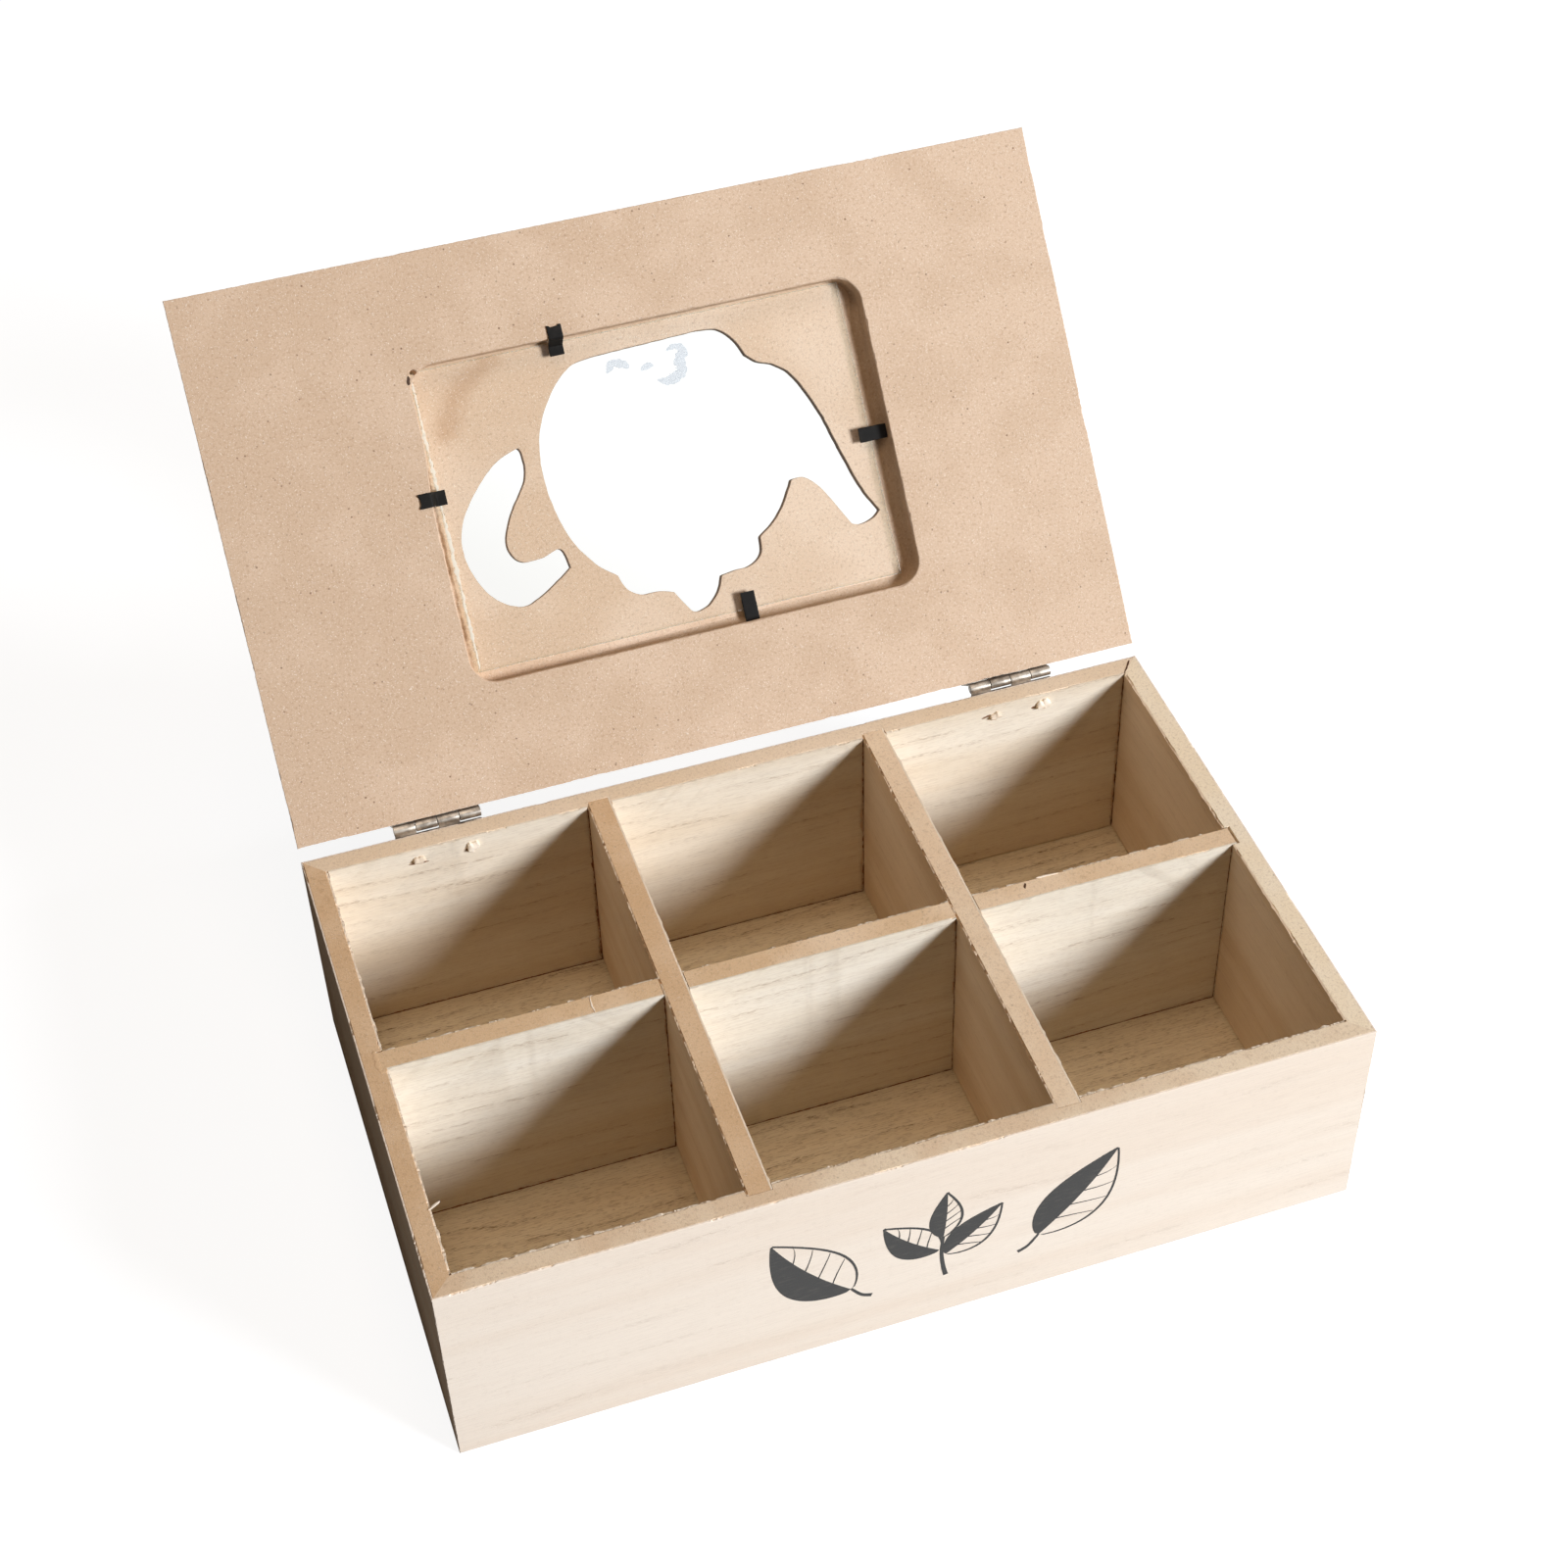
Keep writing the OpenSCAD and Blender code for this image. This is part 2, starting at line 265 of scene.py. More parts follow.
def smooth_stroke(spots: Sequence[Point], steps: int = 8) -> Array:
    """Joins points by a smooth curve that passes through each of them.

    Between two points it is the Catmull-Rom cubic of those two and their neighbours,
    with the end points repeated.

    Args:
        spots: The points, in order.
        steps: How many parts each gap is cut into.

    Returns:
        Points on the curve, without the last one.
    """
    p = np.asarray(spots, float)
    p0 = np.concatenate([p[:1], p[:-2]])[:, None]
    p1, p2 = p[:-1, None], p[1:, None]
    p3 = np.concatenate([p[2:], p[-1:]])[:, None]
    t = (np.arange(steps) / steps)[None, :, None]
    cubic = 2 * p1 + (p2 - p0) * t + (2 * p0 - 5 * p1 + 4 * p2 - p3) * t**2
    return ((cubic + (3 * p1 - p0 - 3 * p2 + p3) * t**3) / 2).reshape(-1, 2)


def inside(points: Array, loop: Array) -> Array:
    """Says which points lie in a closed curve.

    A point is inside if a ray from it along the first axis crosses the curve an odd
    number of times.

    Args:
        points: Points to test, one row each.
        loop: The curve's points, one row each.

    Returns:
        True for each point inside.
    """
    a, b = loop, np.roll(loop, -1, axis=0)
    x, y = points[:, :1], points[:, 1:]
    spans = (a[None, :, 1] > y) != (b[None, :, 1] > y)
    rise = np.where(b[:, 1] == a[:, 1], 1.0, b[:, 1] - a[:, 1])
    cross = a[None, :, 0] + (y - a[None, :, 1]) * ((b - a)[:, 0] / rise)[None]
    return (spans & (x < cross)).sum(1) % 2 == 1


# ---- Shells: surfaces gathered into one closed mesh ----------------------------------


class Finish(Protocol):
    """What a piece is made of and how its surface looks."""

    def material(self) -> bpy.types.Material:
        """Builds the finish's nodes."""


@dataclass
class Shell:
    """Surfaces that together close one or more solids, gathered and made into one object."""

    name: str
    points: list[Array] = field(default_factory=list)
    faces: list[Array] = field(default_factory=list)
    finishes: list[Array] = field(default_factory=list)
    count: int = 0

    def _add(self, points: Array, faces: Array, finish: int) -> None:
        """Keeps some points and the faces between them."""
        self.points.append(points.reshape(-1, 3))
        self.faces.append(faces + self.count)
        self.finishes.append(np.full(len(faces), finish))
        self.count += points.size // 3

    def grid(self, points: Array, finish: int = 0, wrap: bool = False) -> None:
        """Adds a surface given as a function of two parameters on a grid.

        Args:
            points: The points, with one axis for each parameter and one for x, y and z.
            finish: The number of its material.
            wrap: Whether the last column joins the first.
        """
        rows, columns = points.shape[:2]
        index = np.arange(rows * columns).reshape(rows, columns)
        if wrap:
            index = np.concatenate([index, index[:, :1]], axis=1)
        quads = np.stack([index[:-1, :-1], index[1:, :-1], index[1:, 1:], index[:-1, 1:]], -1)
        self._add(points, quads.reshape(-1, 4), finish)

    def slab(self, front: Array, back: Array) -> None:
        """Adds a closed solid between two grids of the same shape, with its four edges."""
        self.grid(front)
        self.grid(back)
        for edge in (np.s_[0], np.s_[-1], np.s_[:, 0], np.s_[:, -1]):
            self.grid(np.stack([front[edge], back[edge]]))

    def tube(self, rings: Array) -> None:
        """Adds a profile carried along a path, closed round it and by a flat face at both ends."""
        self.grid(rings, wrap=True)
        ends = np.arange(rings.shape[1])[None]
        self._add(rings[0], ends, 0)
        self._add(rings[-1], ends, 0)

    def strip(self, rings: Array) -> None:
        """Adds a thin section carried along a path; each end is closed straight across."""
        self.grid(rings, wrap=True)
        half = rings.shape[1] // 2
        for ring in (rings[0], rings[-1]):
            self.grid(np.stack([ring[:half], ring[half:][::-1]]))

    def edge(self, ring: Outline, rows: Rows, place: Placer, finish: int = 0) -> None:
        """Adds an edge profile carried round an outline.

        Args:
            ring: The outline.
            rows: The profile: how far in from the outline each row lies, and how deep.
            place: Turns face points and depths into space.
            finish: The number of its material.
        """
        size = len(ring.points)
        self.grid(np.stack([
            place(ring.moved_in(inset).points, np.broadcast_to(np.asarray(deep, float), size))
            for inset, deep in rows
        ]), finish, wrap=True)

    def fill(self, outlines: Sequence[Array], place: Placer, depth: float, finish: int = 0) -> None:
        """Adds the flat region inside the first curve and outside the others.

        The curves are triangulated together, and a triangle stays if its middle lies in
        the first curve and in none of the others.

        Args:
            outlines: Closed curves on the face, the outer one first.
            place: Turns face points and depths into space.
            depth: The face's depth.
            finish: The number of its material.
        """
        flat = np.concatenate(outlines)
        starts = np.cumsum([0] + [len(o) for o in outlines])
        edges = np.concatenate([
            np.stack([np.arange(a, b), np.roll(np.arange(a, b), -1)], 1) for a, b in zip(starts, starts[1:])
        ])
        scaled = [Vector(p) for p in (flat * 1000).tolist()]
        made = delaunay_2d_cdt(scaled, edges.tolist(), [], 0, 1e-6)
        spots = np.array([tuple(p) for p in made[0]]) / 1000
        triangles = np.array([face for face in made[2] if len(face) == 3])
        middle = spots[triangles].mean(1)
        kept = inside(middle, outlines[0])
        for hole in outlines[1:]:
            kept &= ~inside(middle, hole)
        self._add(place(spots, np.full(len(spots), depth)), triangles[kept], finish)

    def plate(
        self,
        outline: Outline,
        rows: Rows,
        place: Placer,
        finishes: tuple[int, int, int] = (0, 0, 0),
        holes: Sequence[Outline] = (),
    ) -> None:
        """Adds a flat closed piece, by an edge profile carried round its outline and its holes.

        Args:
            outline: The piece's outline.
            rows: The edge profile, from the front face to the back, as for edge().
            place: Turns face points and depths into space.
            finishes: Material numbers of the front face, the edge and the back face.
            holes: Outlines of the holes through it.
        """
        self.edge(outline, rows, place, finishes[1])
        for hole in holes:
            self.edge(hole, [(-np.asarray(inset, float), deep) for inset, deep in rows], place, finishes[1])
        for (inset, deep), finish in ((rows[0], finishes[0]), (rows[-1], finishes[2])):
            inset = np.asarray(inset, float)
            rings = [outline.moved_in(inset).points, *(hole.moved_in(-inset).points for hole in holes)]
            self.fill(rings, place, float(np.max(deep)), finish)

    def build(
        self,
        finishes: Sequence[Finish],
        body: str,
        nodes: Sequence[str],
        slot: str,
        crease: float = 25.0,
    ) -> None:
        """Makes one object of the gathered surfaces, hides the CAD nodes that it stands for, and reports it.

        Points closer than 1 micrometre are merged, every closed shell is turned to face
        outwards, and edges sharper than the crease angle stay sharp.

        Args:
            finishes: The finishes that the numbers stand for.
            body: The CAD body that it rides on.
            nodes: The CAD nodes that it stands for, or none.
            slot: A material slot's name; not used.
            crease: The angle, in degrees.
        """
        mesh = bpy.data.meshes.new(self.name)
        faces = [f for group in self.faces for f in group.tolist()]
        mesh.from_pydata(np.concatenate(self.points).tolist(), [], faces)
        mesh.polygons.foreach_set("material_index", np.concatenate(self.finishes).astype(np.int32))
        for finish in finishes:
            mesh.materials.append(finish.material())
        work = bmesh.new()
        work.from_mesh(mesh)
        bmesh.ops.remove_doubles(work, verts=work.verts, dist=1e-6)
        bmesh.ops.dissolve_degenerate(work, edges=work.edges, dist=1e-7)
        bmesh.ops.recalc_face_normals(work, faces=work.faces)
        work.to_mesh(mesh)
        work.free()
        mesh.shade_smooth()
        mesh.set_sharp_from_angle(angle=math.radians(crease))
        made = bpy.data.objects.new(self.name, mesh)
        bpy.context.scene.collection.objects.link(made)
        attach(made, body)
        if nodes:
            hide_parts(*nodes)
        LOG.info("%s: %d faces, rides on %s", made.name, len(mesh.polygons), body)


# ---- Places ----------------------------------------------------------------------


@dataclass(frozen=True)
class Placement:
    """A turn about a line along x, from where a piece is worked out to where it lies."""

    pivot_y: float = 0.0
    pivot_z: float = 0.0
    degrees: float = 0.0

    def apply(self, points: Array) -> Array:
        """Turns points about the line by the angle, as x-axis rotation does."""
        c, s = math.cos(math.radians(self.degrees)), math.sin(math.radians(self.degrees))
        y, z = points[..., 1] - self.pivot_y, points[..., 2] - self.pivot_z
        return xyz(points[..., 0], self.pivot_y + c * y - s * z, self.pivot_z + s * y + c * z)

    def plan(self, low: float) -> Placer:
        """Gives what turns points on the plan, and heights above a level, into points in space."""
        return lambda points, height: self.apply(xyz(points[..., 0], points[..., 1], low + height))

    def undo(self) -> tuple[Vector, Vector]:
        """The place and the turn of a Mapping node that leads back to where the piece was worked out."""
        turn = Matrix.Rotation(-math.radians(self.degrees), 3, "X")
        pivot = Vector((0.0, self.pivot_y, self.pivot_z))
        return pivot - turn @ pivot, Vector((-math.radians(self.degrees), 0.0, 0.0))


@dataclass(frozen=True)
class Side:
    """A vertical board's own frame: along it, in from its outer face, and up."""

    origin: Point
    along: Point
    inward: Point

    def place(self, along: Array, depth: Array, up: Array) -> Array:
        """Turns distances along, in and up into points in space."""
        x = self.origin[0] + along * self.along[0] + depth * self.inward[0]
        y = self.origin[1] + along * self.along[1] + depth * self.inward[1]
        return xyz(x, y, up)

    def face(self, points: Array, depth: Array) -> Array:
        """Turns points on the board's face, along and up, and their depths into points in space."""
        return self.place(points[:, 0], depth, points[:, 1])


# ---- Finishes --------------------------------------------------------------------


# How far a pattern moves along each axis from one seed to the next
PATTERN_STEP = (0.37, 0.11, 0.23)


def paint(red: int, green: int, blue: int) -> Colour:
    """Turns a display colour, 0 to 255, into the light values that shaders use."""
    levels = [v / 255 for v in (red, green, blue)]
    return tuple(v / 12.92 if v <= 0.04045 else ((v + 0.055) / 1.055) ** 2.4 for v in levels)


class Grain(Enum):
    """Which way a board's grain runs."""

    ALONG_X = "x"
    ALONG_Y = "y"


@dataclass
class Nodes:
    """Short calls that build one material's nodes."""

    owner: bpy.types.ID

    @classmethod
    def start(cls, owner: "str | bpy.types.World") -> "Nodes":
        """Starts without any node, in a new material of that name or in the world given."""
        made = bpy.data.materials.new(owner) if isinstance(owner, str) else owner
        made.use_nodes = True
        made.node_tree.nodes.clear()
        return cls(made)

    def add(self, kind: str, inputs: Optional[dict] = None, **settings: object) -> bpy.types.Node:
        """Adds a node.

        Args:
            kind: The node's type.
            inputs: What each named or numbered input is set to, or the socket that feeds it.
            **settings: The node's own settings.

        Returns:
            The node.
        """
        node = self.owner.node_tree.nodes.new(kind)
        for key, value in settings.items():
            setattr(node, key, value)
        for key, value in (inputs or {}).items():
            self.feed(node.inputs[key], value)
        return node

    def feed(self, socket: Socket, value: object) -> None:
        """Links a socket, or a node's first output, to an input, or sets the input's value."""
        if isinstance(value, bpy.types.Node):
            value = value.outputs[0]
        if isinstance(value, Socket):
            self.owner.node_tree.links.new(value, socket)
        elif socket.type == "RGBA" and isinstance(value, tuple):
            socket.default_value = (*value, 1.0)
        else:
            socket.default_value = value

    def own_place(
        self, seed: int, placement: Placement = Placement(), grain: Grain = Grain.ALONG_X
    ) -> bpy.types.Node:
        """Gives the place on the piece as it was worked out, with the grain along x.

        Args:
            seed: Moves the pattern, so that two boards differ.
            placement: How the piece was turned afterwards.
            grain: Which way its grain runs.

        Returns:
            The node of the place.
        """
        move, turn = placement.undo()
        spot = self.add("ShaderNodeTexCoord").outputs["Object"]
        spot = self.add("ShaderNodeMapping", {"Vector": spot, "Location": move, "Rotation": turn})
        if grain is Grain.ALONG_Y:
            spot = self.add("ShaderNodeMapping", {"Vector": spot, "Rotation": (0.0, 0.0, math.radians(90))})
        return self.vector("ADD", spot, tuple(seed * step for step in PATTERN_STEP))

    def vector(self, operation: str, first: object, second: object) -> bpy.types.Node:
        """Gives the node of one operation on two places."""
        return self.add("ShaderNodeVectorMath", {0: first, 1: second}, operation=operation)

    def noise(self, spot: object, scale: float = 1.0, detail: float = 2.0) -> Socket:
        """Gives a noise level from 0 to 1 at the place."""
        return self.add("ShaderNodeTexNoise", {"Vector": spot, "Scale": scale, "Detail": detail}).outputs[0]

    def drawn(self, spot: object, along: float, across: float, detail: float) -> Socket:
        """Gives a noise level with one scale along the grain and another across it."""
        return self.noise(self.vector("MULTIPLY", spot, (along, across, across)), detail=detail)

    def maths(self, operation: str, *values: object, clamp: bool = False) -> Socket:
        """Gives the result of one operation on sockets or numbers."""
        node = self.add("ShaderNodeMath", dict(enumerate(values)), operation=operation, use_clamp=clamp)
        return node.outputs[0]

    def times(self, first: object, second: object) -> Socket:
        """Gives the product of two levels."""
        return self.maths("MULTIPLY", first, second)

    def line(self, level: object, rise: float, start: object) -> Socket:
        """Gives start plus rise times the level."""
        return self.maths("MULTIPLY_ADD", level, rise, start)

    def band(self, level: Socket, low: float, high: float) -> Socket:
        """Gives a smooth step from 0 at low to 1 at high; low may be the greater of the two."""
        rising = float(low < high)
        ends = {1: min(low, high), 2: max(low, high), 3: 1.0 - rising, 4: rising}
        return self.add("ShaderNodeMapRange", {0: level, **ends}, interpolation_type="SMOOTHSTEP").outputs[0]

    def reach(self, spot: object, path: Sequence[Colour]) -> Socket:
        """Gives the distance from the place to a line of straight runs through points in space.

        On each run the nearest point is its start plus a share of the run: the place's
        offset times the run over the run's length squared, kept between 0 and 1.

        Args:
            spot: The place.
            path: The points.

        Returns:
            The distance, or 1 m if it is greater.
        """
        nearest: object = 1.0
        for start, stop in zip(path, path[1:]):
            run = Vector(stop) - Vector(start)
            off = self.vector("SUBTRACT", spot, start)
            along = self.vector("DOT_PRODUCT", off, tuple(run / run.length_squared)).outputs["Value"]
            share = self.maths("ADD", along, 0.0, clamp=True)
            foot = self.add("ShaderNodeVectorMath", {0: tuple(run), "Scale": share}, operation="SCALE")
            nearest = self.maths("MINIMUM", self.vector("DISTANCE", off, foot).outputs["Value"], nearest)
        return nearest

    def levels(self, level: Socket, stops: Sequence[Point]) -> Socket:
        """Gives a level through a ramp of (place, grey) stops."""
        node = self.add("ShaderNodeValToRGB", {0: level})
        ramp = node.color_ramp
        while len(ramp.elements) < len(stops):
            ramp.elements.new(0.5)
        for element, (place, grey) in zip(ramp.elements, stops):
            element.position = place
            element.color = (grey, grey, grey, 1.0)
        return node.outputs[0]

    def blend(self, share: object, first: object, second: object, how: str = "MIX") -> Socket:
        """Mixes two colours by a share."""
        inputs = {0: share, 6: first, 7: second}
        return self.add("ShaderNodeMix", inputs, data_type="RGBA", blend_type=how).outputs[2]

    def coat(self, under: object, level: Socket, strength: float, over: Colour) -> Socket:
        """Lays a colour over another, by a level times a strength."""
        return self.blend(self.times(level, strength), under, over)

    def bump(self, height: Socket, distance: float) -> Socket:
        """Gives the normal of a surface with a small relief of that height."""
        inputs = {"Height": height, "Distance": distance, "Strength": 1.0}
        return self.add("ShaderNodeBump", inputs).outputs[0]

    def seen(self) -> Socket:
        """Gives 1 to camera, gloss and glass rays that haven't scattered yet, and 0 to all others."""
        path = self.add("ShaderNodeLightPath").outputs
        seen = self.maths("MAXIMUM", path["Is Camera Ray"], path["Is Glossy Ray"])
        seen = self.maths("MAXIMUM", seen, path["Is Transmission Ray"])
        return self.times(seen, self.maths("LESS_THAN", path["Diffuse Depth"], 0.5))

    def mixed(self, share: Socket, first: bpy.types.Node, second: bpy.types.Node) -> bpy.types.Node:
        """Mixes two shaders by a share."""
        return self.add("ShaderNodeMixShader", {0: share, 1: first, 2: second})

    def end(self, shader: bpy.types.Node, kind: str = "ShaderNodeOutputMaterial") -> bpy.types.ID:
        """Ends the nodes in a shader, and gives what owns them."""
        self.add(kind, {"Surface": shader})
        return self.owner

    def surface(self, **inputs: object) -> bpy.types.Material:
        """Ends the material in one Principled shader; underscores in names stand for spaces."""
        named = {k.replace("_", " "): v for k, v in inputs.items()}
        return self.end(self.add("ShaderNodeBsdfPrincipled", named))


@dataclass(frozen=True)
class Veneer:
    """Pale open-grained veneer: soft bands, fine fibre, and growth lines broken into pores."""

    name: str
    pale: Colour
    deep: Colour
    line: Colour
    lines: float = 0.5
    pores: float = 0.12
    fibres: float = 0.13
    spacing: float = 0.0065
    grain: Grain = Grain.ALONG_X
    seed: int = 0
    placement: Placement = Placement()
    relief: float = 0.00005

    def material(self) -> bpy.types.Material:
        """Builds the nodes.

        Across the board, height plus 0.83 times depth, bent by three noises, is cut into
        growth rings. Each ring is darkest at its edge. Noise drawn out along the grain
        breaks that edge into dashes.

        Returns:
            The material.
        """
        n = Nodes.start(self.name)
        spot = n.own_place(self.seed, self.placement, self.grain)
        parts = n.add("ShaderNodeSeparateXYZ", {0: spot})
        bent = n.line(parts.outputs[1], 0.83, parts.outputs[2])
        sways = ((7, 19, 1.0, 0.030), (55, 240, 2.0, 0.0016), (700, 2600, 1.0, 0.0009))
        for along, across, detail, sway in sways:
            bent = n.line(n.drawn(spot, along, across, detail), sway, bent)
        ring = n.maths("FRACT", n.maths("DIVIDE", bent, self.spacing))
        edge = n.levels(ring, [(0.0, 1.0), (0.04, 0.5), (0.12, 0.05), (0.7, 0.0), (0.93, 0.4), (1.0, 1.0)])
        gaps = n.band(n.drawn(spot, 26, 150, 2.0), 0.44, 0.60)
        dash = n.band(n.drawn(spot, 520, 3600, 1.0), 0.50, 0.58)
        fibre = n.drawn(spot, 90, 3000, 3.0)
        bands = n.drawn(spot, 3, 70, 2.0)
        marks = n.times(edge, n.times(gaps, n.line(dash, 0.85, 0.15)))
        pores = n.times(n.band(n.drawn(spot, 560, 5200, 0.0), 0.64, 0.72), self.pores)
        colour = n.blend(n.band(bands, 0.34, 0.68), self.pale, self.deep)
        colour = n.coat(colour, n.band(ring, 0.35, 1.0), self.lines * 0.3, self.deep)
        colour = n.coat(colour, n.band(fibre, 0.56, 0.36), self.fibres, self.line)
        colour = n.blend(n.maths("ADD", n.times(marks, self.lines), pores, clamp=True), colour, self.line)
        height = n.maths("SUBTRACT", n.times(fibre, 0.6), n.maths("ADD", marks, n.times(pores, 4)))
        return n.surface(
            Base_Color=colour,
            Roughness=n.line(fibre, 0.14, 0.56),
            Specular_IOR_Level=0.0,
            Normal=n.bump(height, self.relief),
        )


@dataclass(frozen=True)
class Fibreboard:
    """Raw fibreboard: mottled tan with felted fibres, pale flecks and sparse dark specks."""

    name: str
    base: Colour
    pale: Colour
    dark: Colour
    specks: float = 0.8
    flecks: float = 0.5
    fuzz: float = 1.0
    seed: int = 0
    placement: Placement = Placement()
    mottle: float = 0.3
    cloud: float = 55.0
    tilt: float = 0.0
    smear_line: tuple[Colour, ...] = ()
    fleck_colour: Colour = (0.90, 0.80, 0.67)
    speck_colour: Colour = (0.13, 0.06, 0.028)
    smear_tint: Colour = (0.86, 0.79, 0.73)
    relief: float = 0.00004

    def material(self) -> bpy.types.Material:
        """Builds the nodes.

        A cloud noise, paler along x by the tilt, and two noises of 0.8 and 0.3 mm make
        the mottle. Along the smear line the colour is multiplied by the smear tint, fading
        out from 2 to 7 mm to each side. Pale and dark fibres are a noise drawn out in two
        directions. Specks are the middles of two random cells in five of a 2 mm cell
        pattern, each with its own strength.

        Returns:
            The material.
        """
        n = Nodes.start(self.name)
        spot = n.own_place(self.seed, self.placement)
        across = n.add("ShaderNodeSeparateXYZ", {"Vector": spot}).outputs["X"]
        slope = n.line(across, self.tilt, -PATTERN_STEP[0] * self.seed * self.tilt)
        cloud = n.maths("ADD", n.band(n.noise(spot, self.cloud, 2.0), 0.35, 0.7), slope, clamp=True)
        colour = n.blend(cloud, self.base, self.pale)
        if self.smear_line:
            shift = Vector(PATTERN_STEP) * self.seed
            gap = n.reach(spot, [tuple(Vector(point) + shift) for point in self.smear_line])
            gap = n.line(n.noise(spot, 260, 2.0), 0.004, gap)
            colour = n.blend(n.band(gap, 0.0072, 0.0020), colour, self.smear_tint, "MULTIPLY")
        colour = n.coat(colour, n.band(n.noise(spot, 1250, 3.0), 0.50, 0.28), self.mottle, self.dark)
        fine = n.noise(spot, 3100, 2.0)
        colour = n.coat(colour, n.band(fine, 0.55, 0.25), self.mottle * 0.8, self.dark)
        fibres = []
        for turn in (0.55, -0.95):
            leaning = n.add("ShaderNodeMapping", {"Vector": spot, "Rotation": (turn, turn * 0.7, turn)})
            fibres.append(n.drawn(leaning, 420, 3300, 1.0))
        light = n.maths("MAXIMUM", n.band(fibres[0], 0.66, 0.74), n.band(fibres[1], 0.67, 0.75))
        colour = n.coat(colour, light, self.flecks, self.fleck_colour)
        colour = n.coat(colour, n.band(fibres[1], 0.32, 0.22), self.flecks * 0.5, self.dark)
        cells = n.add("ShaderNodeTexVoronoi", {"Vector": spot, "Scale": 520.0, "Randomness": 1.0})
        draw = n.add("ShaderNodeSeparateColor", {0: cells.outputs["Color"]})
        chosen = n.band(draw.outputs[0], 0.56, 0.60)
        strong = n.line(n.maths("POWER", draw.outputs[1], 2.5), 0.75, 0.25)
        dot = n.band(n.maths("SUBTRACT", cells.outputs["Distance"], n.line(fine, 0.16, 0.04)), 0.05, -0.03)
        colour = n.coat(colour, n.times(n.times(chosen, dot), strong), self.specks, self.speck_colour)
        return n.surface(
            Base_Color=colour,
            Roughness=n.line(fine, 0.16, 0.72),
            Specular_IOR_Level=0.02,
            Normal=n.bump(n.maths("ADD", fine, n.times(light, 0.8)), self.relief * self.fuzz),
        )


@dataclass(frozen=True)
class Metal:
    """Sheet metal with drawn streaks, a little cloudiness and darker grime in patches."""

    name: str
    bright: Colour
    dull: Colour
    metallic: float = 1.0
    rough: float = 0.28
    streaks: float = 0.12
    gloss: float = 0.5
    relief: float = 0.00001

    def material(self) -> bpy.types.Material:
        """Builds the nodes: a cloud noise of 3 mm mixes bright and dull, and streaks roughen it."""
        n = Nodes.start(self.name)
        spot = n.own_place(3)
        cloud = n.noise(spot, 330, 3.0)
        streak = n.drawn(spot, 160, 5200, 2.0)
        pits = n.band(n.noise(spot, 2600, 1.0), 0.70, 0.78)
        colour = n.blend(n.band(cloud, 0.38, 0.68), self.bright, self.dull)
        return n.surface(
            Base_Color=n.coat(colour, pits, 0.45, self.dull),
            Metallic=self.metallic,
            Roughness=n.maths("ADD", n.line(streak, self.streaks, self.rough), n.times(cloud, 0.1)),
            Specular_IOR_Level=self.gloss,
            Normal=n.bump(n.maths("SUBTRACT", streak, pits), self.relief),
        )


@dataclass(frozen=True)
class Film:
    """A thin matt coat, such as printed colour or dried glue: slightly uneven and worn."""

    name: str
    colour: Colour
    worn: Colour
    rough: float = 0.6
    opacity: float = 1.0
    relief: float = 0.00002

    def material(self) -> bpy.types.Material:
        """Builds the nodes: a noise of 3 by 0.7 mm lets some of the worn colour through."""
        n = Nodes.start(self.name)
        spot = n.own_place(5)
        thin = n.band(n.drawn(spot, 300, 1400, 3.0), 0.52, 0.74)
        grit = n.noise(spot, 3000, 2.0)
        return n.surface(
            Base_Color=n.coat(self.colour, thin, 0.55, self.worn),
            Roughness=n.line(grit, 0.2, self.rough - 0.1),
            Normal=n.bump(grit, self.relief),
            Alpha=self.opacity,
        )


@dataclass(frozen=True)
class ClearGlass:
    """Thin window glass, with faint wiping marks in its gloss."""

    name: str
    tint: Colour

    def material(self) -> bpy.types.Material:
        """Builds the nodes: each face mirrors a share of the light and lets the rest pass.

        The share is 0.02 plus 0.98 times the fifth power of one minus the cosine between
        the face and the ray, which is Schlick's rule for glass with a thin bloom.

        Returns:
            The material.
        """
        n = Nodes.start(self.name)
        wipe = n.band(n.drawn(n.own_place(7), 30, 160, 3.0), 0.50, 0.80)
        facing = n.add("ShaderNodeLayerWeight", {"Blend": 0.5}).outputs["Facing"]
        share = n.line(n.maths("POWER", facing, 5.0), 0.98, 0.02)
        clear = n.add("ShaderNodeBsdfTransparent", {"Color": self.tint})
        gloss = n.add("ShaderNodeBsdfGlossy", {"Roughness": n.line(wipe, 0.10, 0.02)})
        return n.end(n.mixed(share, clear, gloss))


@dataclass(frozen=True)
class GroundGlass:
    """The ground edge of a pane: frosted, chipped, and half let through."""

    name: str
    pale: Colour
    green: Colour
    through: Colour = (0.90, 0.94, 0.91)
    clear: float = 0.72
    relief: float = 0.00006

    def material(self) -> bpy.types.Material:
        """Builds the nodes: a noise of 0.7 mm mixes frosted white, green and clear spots."""
        n = Nodes.start(self.name)
        chips = n.noise(n.own_place(9), 1400, 3.0)
        colour = n.blend(n.band(chips, 0.35, 0.65), self.pale, self.green)
        frost = n.add("ShaderNodeBsdfDiffuse", {"Color": colour, "Normal": n.bump(chips, self.relief)})
        through = n.add("ShaderNodeBsdfTransparent", {"Color": self.through})
        share = n.line(n.band(chips, 0.62, 0.40), 1.0 - self.clear, 0.0)
        return n.end(n.mixed(share, through, frost))


# ---- Sizes from the CAD model -------------------------------------------------------


